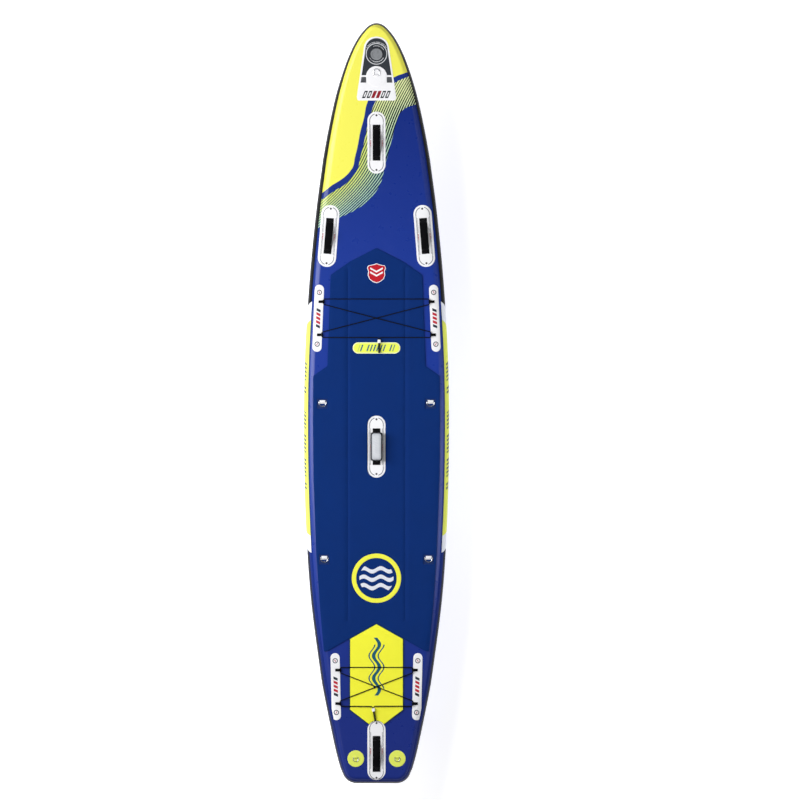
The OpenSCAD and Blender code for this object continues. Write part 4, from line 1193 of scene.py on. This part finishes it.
# ---- bungees ----
CORD_R = 2.6
CORD_BEND = 10.6
LOOP_R = 5.3
LOOP_WEB = 1.3
LOOP_L = 14.0
LOOP_Z = PATCH_T + LOOP_WEB + LOOP_R
LOOP_OVER = LOOP_L / 2 + 7
LOCK_UP, LOCK_H, LOCK_PITCH, TAIL_LEN = 20.0, 13.0, 2.75, 60.0
FRONT_LOOPS = [(280, 532), (288, 358)]
REAR_LOOPS = [(192, -1402), (192, -1578)]
FRONT_LOCK = (14, 358 - LOOP_OVER - LOCK_UP, 0)
REAR_LOCK = (-16, -1578 - LOOP_OVER - LOCK_UP, 10)


def cad_deck(y):
    """The CAD's deck, which the locks hang from."""
    return float(np.interp(y, *zip(*STATIONS))) + BOARD_T


def above(x, y, h):
    return np.array([x, y, cad_deck(y) + h])


def lock_point(lock, a, b):
    c, s = cos(radians(lock[2])), sin(radians(lock[2]))
    return above(lock[0] + a * c - b * s, lock[1] + a * s + b * c, LOCK_H)


def bungee_line(places, lock):
    """Both ends hang through the lock; between them the cord goes round the four loops and crosses itself."""
    (tx, ty), (bx, by) = places
    tx, bx, e, z = tx - 0.6, bx - 0.6, LOOP_OVER, LOOP_Z
    return [
        lock_point(lock, -LOCK_PITCH, -TAIL_LEN), lock_point(lock, -LOCK_PITCH, LOCK_UP),
        above(-bx, by - e, z), above(-bx, by + e, z), above(tx, ty - e, z), above(tx, ty + e, z),
        above(-tx, ty + e, z), above(-tx, ty - e, z), above(0, (ty + by) / 2, z + 6), above(bx, by + e, z),
        above(bx, by - e, z), lock_point(lock, LOCK_PITCH, LOCK_UP), lock_point(lock, LOCK_PITCH, -TAIL_LEN)]


def rounded_path(p, r, step=40.0):
    """The line p with its corners rounded to radius r and points at most about step apart."""
    out = [p[0]]
    for a, b, c in zip(p[:-2], p[1:-1], p[2:]):
        u, v = (a - b) / np.linalg.norm(a - b), (c - b) / np.linalg.norm(c - b)
        half = acos(max(-1, min(1, float(u @ v)))) / 2
        if degrees(pi - 2 * half) < 12:
            out.append(b)
            continue
        mid = b + (u + v) / np.linalg.norm(u + v) * (r / sin(half))
        s, e = b + u * r / tan(half) - mid, b + v * r / tan(half) - mid
        turn = pi - 2 * half
        out += [mid + (sin((1 - k) * turn) * s + sin(k * turn) * e) / sin(turn)
                for k in np.linspace(0, 1, 11)]
    out.append(p[-1])
    full = [out[0]]
    for a, b in zip(out[:-1], out[1:]):
        n = max(1, int(np.linalg.norm(b - a) / step))
        full += [a + (b - a) * k / n for k in range(1, n + 1)]
    return np.array(full)


def bungee(name, node, places, lock):
    """A braided cord with a rubber sleeve on each end."""
    path = rounded_path(bungee_line(places, lock), CORD_BEND)
    sides = 16
    s = Shape()
    sweep(s, path, circle(1.0, sides) * CORD_R)
    # The braid's local coordinate is the share of a turn round the cord.
    turns = np.tile(np.arange(sides) / sides, len(path))
    s.local = [(u, v, w) for u, (_, v, w) in zip(turns, s.local)]
    size = (0.2, CORD_R + 0.28, CORD_R + 0.3, CORD_R + 0.2, 1.6)
    for end, ref in ((0, 1), (-1, -2)):
        d = path[end] - path[ref]
        d /= np.linalg.norm(d)
        sweep(s, [path[end] + d * k for k in (-9.0, -8.6, -4.0, 0.9, 1.5)], lambda i: circle(size[i], 16), m=1)
    ob = s.make(name, "cord rubber", node, "cord", sharp=50)


bungee("front_bungee_braided_cord", "front_bungee_cord", FRONT_LOOPS, FRONT_LOCK)
bungee("rear_bungee_braided_cord", "rear_bungee_cord", REAR_LOOPS, REAR_LOCK)


def fold_over(shape, x, y, side):
    """A webbing loop: it lies on the strip, goes over the cord and comes back. side is the way its ends point."""
    web, base, flap = LOOP_WEB, PATCH_T, LOOP_R + 19
    mid, cz = LOOP_R + web / 2, base + web + LOOP_R
    low, high = base + web / 2 + 0.05, base + 1.5 * web

    def at(a, v, h):
        px = x + side * a
        return (px, y + v, float(surface(px, y)[0]) + h)

    pts = [(flap, low), (flap * 0.5, low), (0.0, low)]
    pts += [(-mid * sin(a), cz + 0.05 - mid * cos(a)) for a in np.radians(np.arange(12, 250, 14))]
    pts += [(mid + 2.4, high + 1.2), (mid + 5, high + 0.12), (flap * 0.75, high + 0.08), (flap - 0.4, high + 0.08)]
    sweep(shape, [at(a, 0, h) for a, h in pts], strap(web, LOOP_L, web * 0.42), up=(0, 1, 0))
    half = LOOP_L / 2 - 1.6
    for row in (mid + 6.5, flap - 2.6):
        stitch_line(shape, [at(row, v, base + 2 * web + 0.16) for v in np.linspace(-half, half, 4)], 3.4, 0.36)


for end, places in (("front", FRONT_LOOPS), ("rear", REAR_LOOPS)):
    s = Shape()
    for x, y in places:
        for side in (1, -1):
            fold_over(s, side * x, y, side)
    s.make(end + "_bungee_webbing_loops", "web thread", end + "_bungee_loops", "webbing", sharp=60)


def ring_tab(shape, x, y, ring, r, base=PATCH_T):
    """A strip over a ring's bar, glued down before and behind; ring is half the ring's width."""
    half, web = ring - 3.9, 1.3
    cz, mid = base + r + 0.05 + web, r + 0.05 + web / 2
    low = base + web / 2
    ends = [(9, low + 0.05), (mid + 2.2, low + 0.12), (mid + 0.9, low + 0.8)]
    pts = [(-a, h) for a, h in ends]
    pts += [(-mid * cos(a), cz + mid * sin(a)) for a in np.radians(np.arange(-8, 189, 14))] + ends[::-1]
    c, s_, zb = cos(slope_at(y)), sin(slope_at(y)), cad_deck(y)

    def at(u, a, h):
        return (x + u, y + a * c - h * s_, zb + a * s_ + h * c)

    sweep(shape, [at(0, a, h) for a, h in pts], strap(web, 2 * half, web * 0.42), up=(1, 0, 0))
    for v in (-7.4, 7.4):
        stitch_line(shape, [at(u, v, base + web + 0.15) for u in np.linspace(2 - half, half - 2, 4)], 3.6, 0.34)


s = Shape()
for x, y in DECK_RINGS:
    for side in (1, -1):
        ring_tab(s, side * x, y, 19, 2.0)
s.make("deck_ring_webbing_tabs", "white grey_thread", "deck_ring_tabs", "white_pvc", sharp=60)
s = Shape()
for side in (1, -1):
    ring_tab(s, side * 109, -1861, 13, 1.8)
s.make("tail_ring_webbing_tabs", "yellow_pvc grey_thread", "tail_ring_tabs", "yellow_pvc", sharp=60)
s = Shape()
ring_tab(s, 0, 1722, 16, 2.2, 2 * PATCH_T)
s.make("nose_ring_webbing_tab", "white grey_thread", "nose_ring_tab", "white_pvc", sharp=60)

# ---- nodes shown as in the CAD, and the materials they take ----
SHOWN = {
    "yarn": "drop_stitch_yarns",
    "steel": "nose_d_ring deck_d_ring_front_port deck_d_ring_front_starboard deck_d_ring_rear_port "
             "deck_d_ring_rear_starboard tail_d_ring_port tail_d_ring_starboard",
    "spring": "fin_plate_nut", "brass": "fin_cross_pin fin_screw",
    "lock": "front_lock_barrel front_lock_button rear_lock_barrel rear_lock_button",
    "dark": "valve_body", "grey": "valve_nut valve_cap", "rubber": "valve_cap_gasket valve_diaphragm",
    "pale": "valve_stem", "black": "fin_box",
}
for mat, nodes in SHOWN.items():
    for node in nodes.split():
        paint(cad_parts[node].data, mat)


def spring(name, node, body, axis):
    """A copy of the coil of the CAD's own shape, in spring steel, on the joint's body in place of the CAD's node."""
    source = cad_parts[node]
    mesh = source.data.copy()
    mesh.name = name
    mesh.transform(source.matrix_world)
    paint(mesh, "spring")
    at = np.array([tuple(v.co) for v in mesh.vertices])
    along = at @ np.array(axis)
    seat, length = at[along.argmax()], float(np.ptp(along))
    ob = add_object(name, mesh)
    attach(ob, body)
    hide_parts(node)
    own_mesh(ob)


spring("valve_coil_spring", "valve_spring", "board", (0.0, 0.237126, -0.971479))
spring("front_lock_coil_spring", "front_lock_spring", "front_lock", (0.0, 0.0, -1.0))
spring("rear_lock_coil_spring", "rear_lock_spring", "rear_lock", (0.0, -0.031039, -0.999518))
for node in (SHOWN["lock"] + " valve_body valve_cap").split():
    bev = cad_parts[node].modifiers.new("soft_edges", "BEVEL")
    bev.width, bev.segments, bev.limit_method, bev.angle_limit = 0.0005, 2, "ANGLE", radians(40)

# ---- fin patch and fin ----
FIN_Y = -1550
s = plate(Shape(), [stadium(112, 350)], 2.0, 0, r=0.7, place=(0, FIN_Y, 0), step=16, flat=0.0)
s.v = [(x, y, float(rocker(y)) - z) for x, y, z in s.v]
s.make("fin_box_glued_patch", "bottom", "fin_box_patch", "hull_bottom")


def fin_frame(p):
    """From the fin box's own frame to the board's."""
    slope = atan((cad_deck(FIN_Y + 1) - cad_deck(FIN_Y - 1)) / 2)
    c, s = cos(slope), sin(slope)
    x, y, z = np.asarray(p, float).T
    return np.column_stack([x, FIN_Y + y * c - z * s, cad_deck(FIN_Y) - BOARD_T + y * s + z * c])


def blade():
    """A swept blade, thinner towards the tip, which ends in a small rounded cap."""
    top, depth, rings, sides = -27.5, 230.0, 44, 40
    out = []
    for i in range(rings + 1):
        u = 0.985 * i / rings
        trail = -85 + 24 * sin(pi * u) - 27 * u * u
        lead = 85 - 190 * u**1.6
        thick = 9.2 * (1 - u) + 2.4
        a = 2 * pi * np.arange(sides) / sides
        out.append(np.column_stack([thick / 2 * np.sin(a) * np.sqrt(0.58 + 0.42 * np.cos(a)),
                                    trail + (lead - trail) * (1 + np.cos(a)) / 2,
                                    np.full(sides, top - depth * u)]))
    mid = out[-1].mean(0)
    out.append(mid + (out[-1] - mid) * [0.55, 0.9, 1] - [0, 0, 1.6])
    verts, faces = loft(out)
    faces += [tuple(range(sides))[::-1], tuple(range((len(out) - 1) * sides, len(out) * sides))]
    return fin_frame(verts), faces


def tab():
    """The block over the blade that slides in the fin box, with rounded edges."""
    size, middle, r = Vector((9.3, 166, 21.5)), Vector((0, 0, -19.25)), 0.7
    bm = bmesh.new()
    bmesh.ops.create_cube(bm, size=1.0)
    for v in bm.verts:
        v.co = middle + v.co * size
    bmesh.ops.bevel(bm, geom=bm.edges[:], offset=r, segments=3, profile=0.5, affect="EDGES")
    bm.verts.index_update()
    verts, faces = [tuple(v.co) for v in bm.verts], [[v.index for v in f.verts] for f in bm.faces]
    bm.free()
    return fin_frame(verts), faces


Shape().add(*blade()).add(*tab()).make("fin_blade_and_tab", "fin", "fin", "black_nylon", body="fin", sharp=35)

# The lug keeps the CAD's hole for the screw.
lug = plate(Shape(), [rounded_box(9.3, 22.5, 1.0), circle(2.3, 32, 0, 1.5)], 4.0, 0, under=0.5, step=3, flat=0.0)
lug.v = [tuple(p) for p in fin_frame(np.array(lug.v) + [0, 94.5, -23.5])]
lug.make("fin_screw_lug", "fin", slot="black_nylon", body="fin")

# ---- floor, light and finish ----
low = min(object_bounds()[0].z, cad_box[0].z) - 0.002
size = 55.0
floor_mesh = bpy.data.meshes.new("floor")
floor_mesh.from_pydata([(a * size, b * size, low) for a, b in ((-1, -1), (1, -1), (1, 1), (-1, 1))], [],
                       [(0, 1, 2, 3)])
g = Graph("floor_paint")
floor_mesh.materials.append(g.done(
    g.mix(g.noise(400, 3), srgb(250, 250, 250), srgb(253, 253, 253)), g.noise(60, 3) * 0.1 + 0.75, None,
    Emission_Color=(1, 1, 1, 1), Emission_Strength=0.66))
add_object("floor", floor_mesh)

# The sky is dim overhead and brighter lower down. Below the horizon it's white, for a low flat view that starts
# under the floor; the floor hides that part from the board.
world = bpy.data.worlds.new("studio")
world.use_nodes = True
wt = world.node_tree
way, split, ramp, under, both = (wt.nodes.new("ShaderNode" + kind) for kind in (
    "TexCoord", "SeparateXYZ", "MapRange", "Math", "Math"))
ramp.interpolation_type, under.operation, both.operation = "SMOOTHSTEP", "LESS_THAN", "MAXIMUM"
for node, k, v in ((ramp, 1, 0.30), (ramp, 2, 0.80), (ramp, 3, 0.34), (ramp, 4, 0.07), (under, 1, 0.0)):
    node.inputs[k].default_value = v
background = wt.nodes["Background"]
background.inputs[0].default_value = (1, 1, 1, 1)
for a, b in ((way.outputs["Generated"], split.inputs[0]), (split.outputs[2], ramp.inputs[0]),
             (split.outputs[2], under.inputs[0]), (ramp.outputs[0], both.inputs[0]),
             (under.outputs[0], both.inputs[1]), (both.outputs[0], background.inputs[1])):
    wt.links.new(a, b)
bpy.context.scene.world = world


def softbox(name, at, w, h, watts):
    """An area light that points at the board's middle."""
    data = bpy.data.lights.new(name, "AREA")
    data.shape, data.size, data.size_y, data.energy = "RECTANGLE", w, h, watts
    ob = add_object(name, data)
    ob.location = at
    ob.rotation_euler = (-Vector(at)).to_track_quat("-Z", "Y").to_euler()


softbox("key", (-3.6, 0.7, 3.8), 2.6, 5.2, 368)
softbox("fill", (3.6, -0.6, 3.4), 1.0, 4.4, 60)
softbox("rim", (6.0, 0.0, 2.2), 0.3, 5.6, 20)
bpy.context.scene.view_settings.view_transform = "Standard"
bpy.context.scene.view_settings.exposure = 0.0
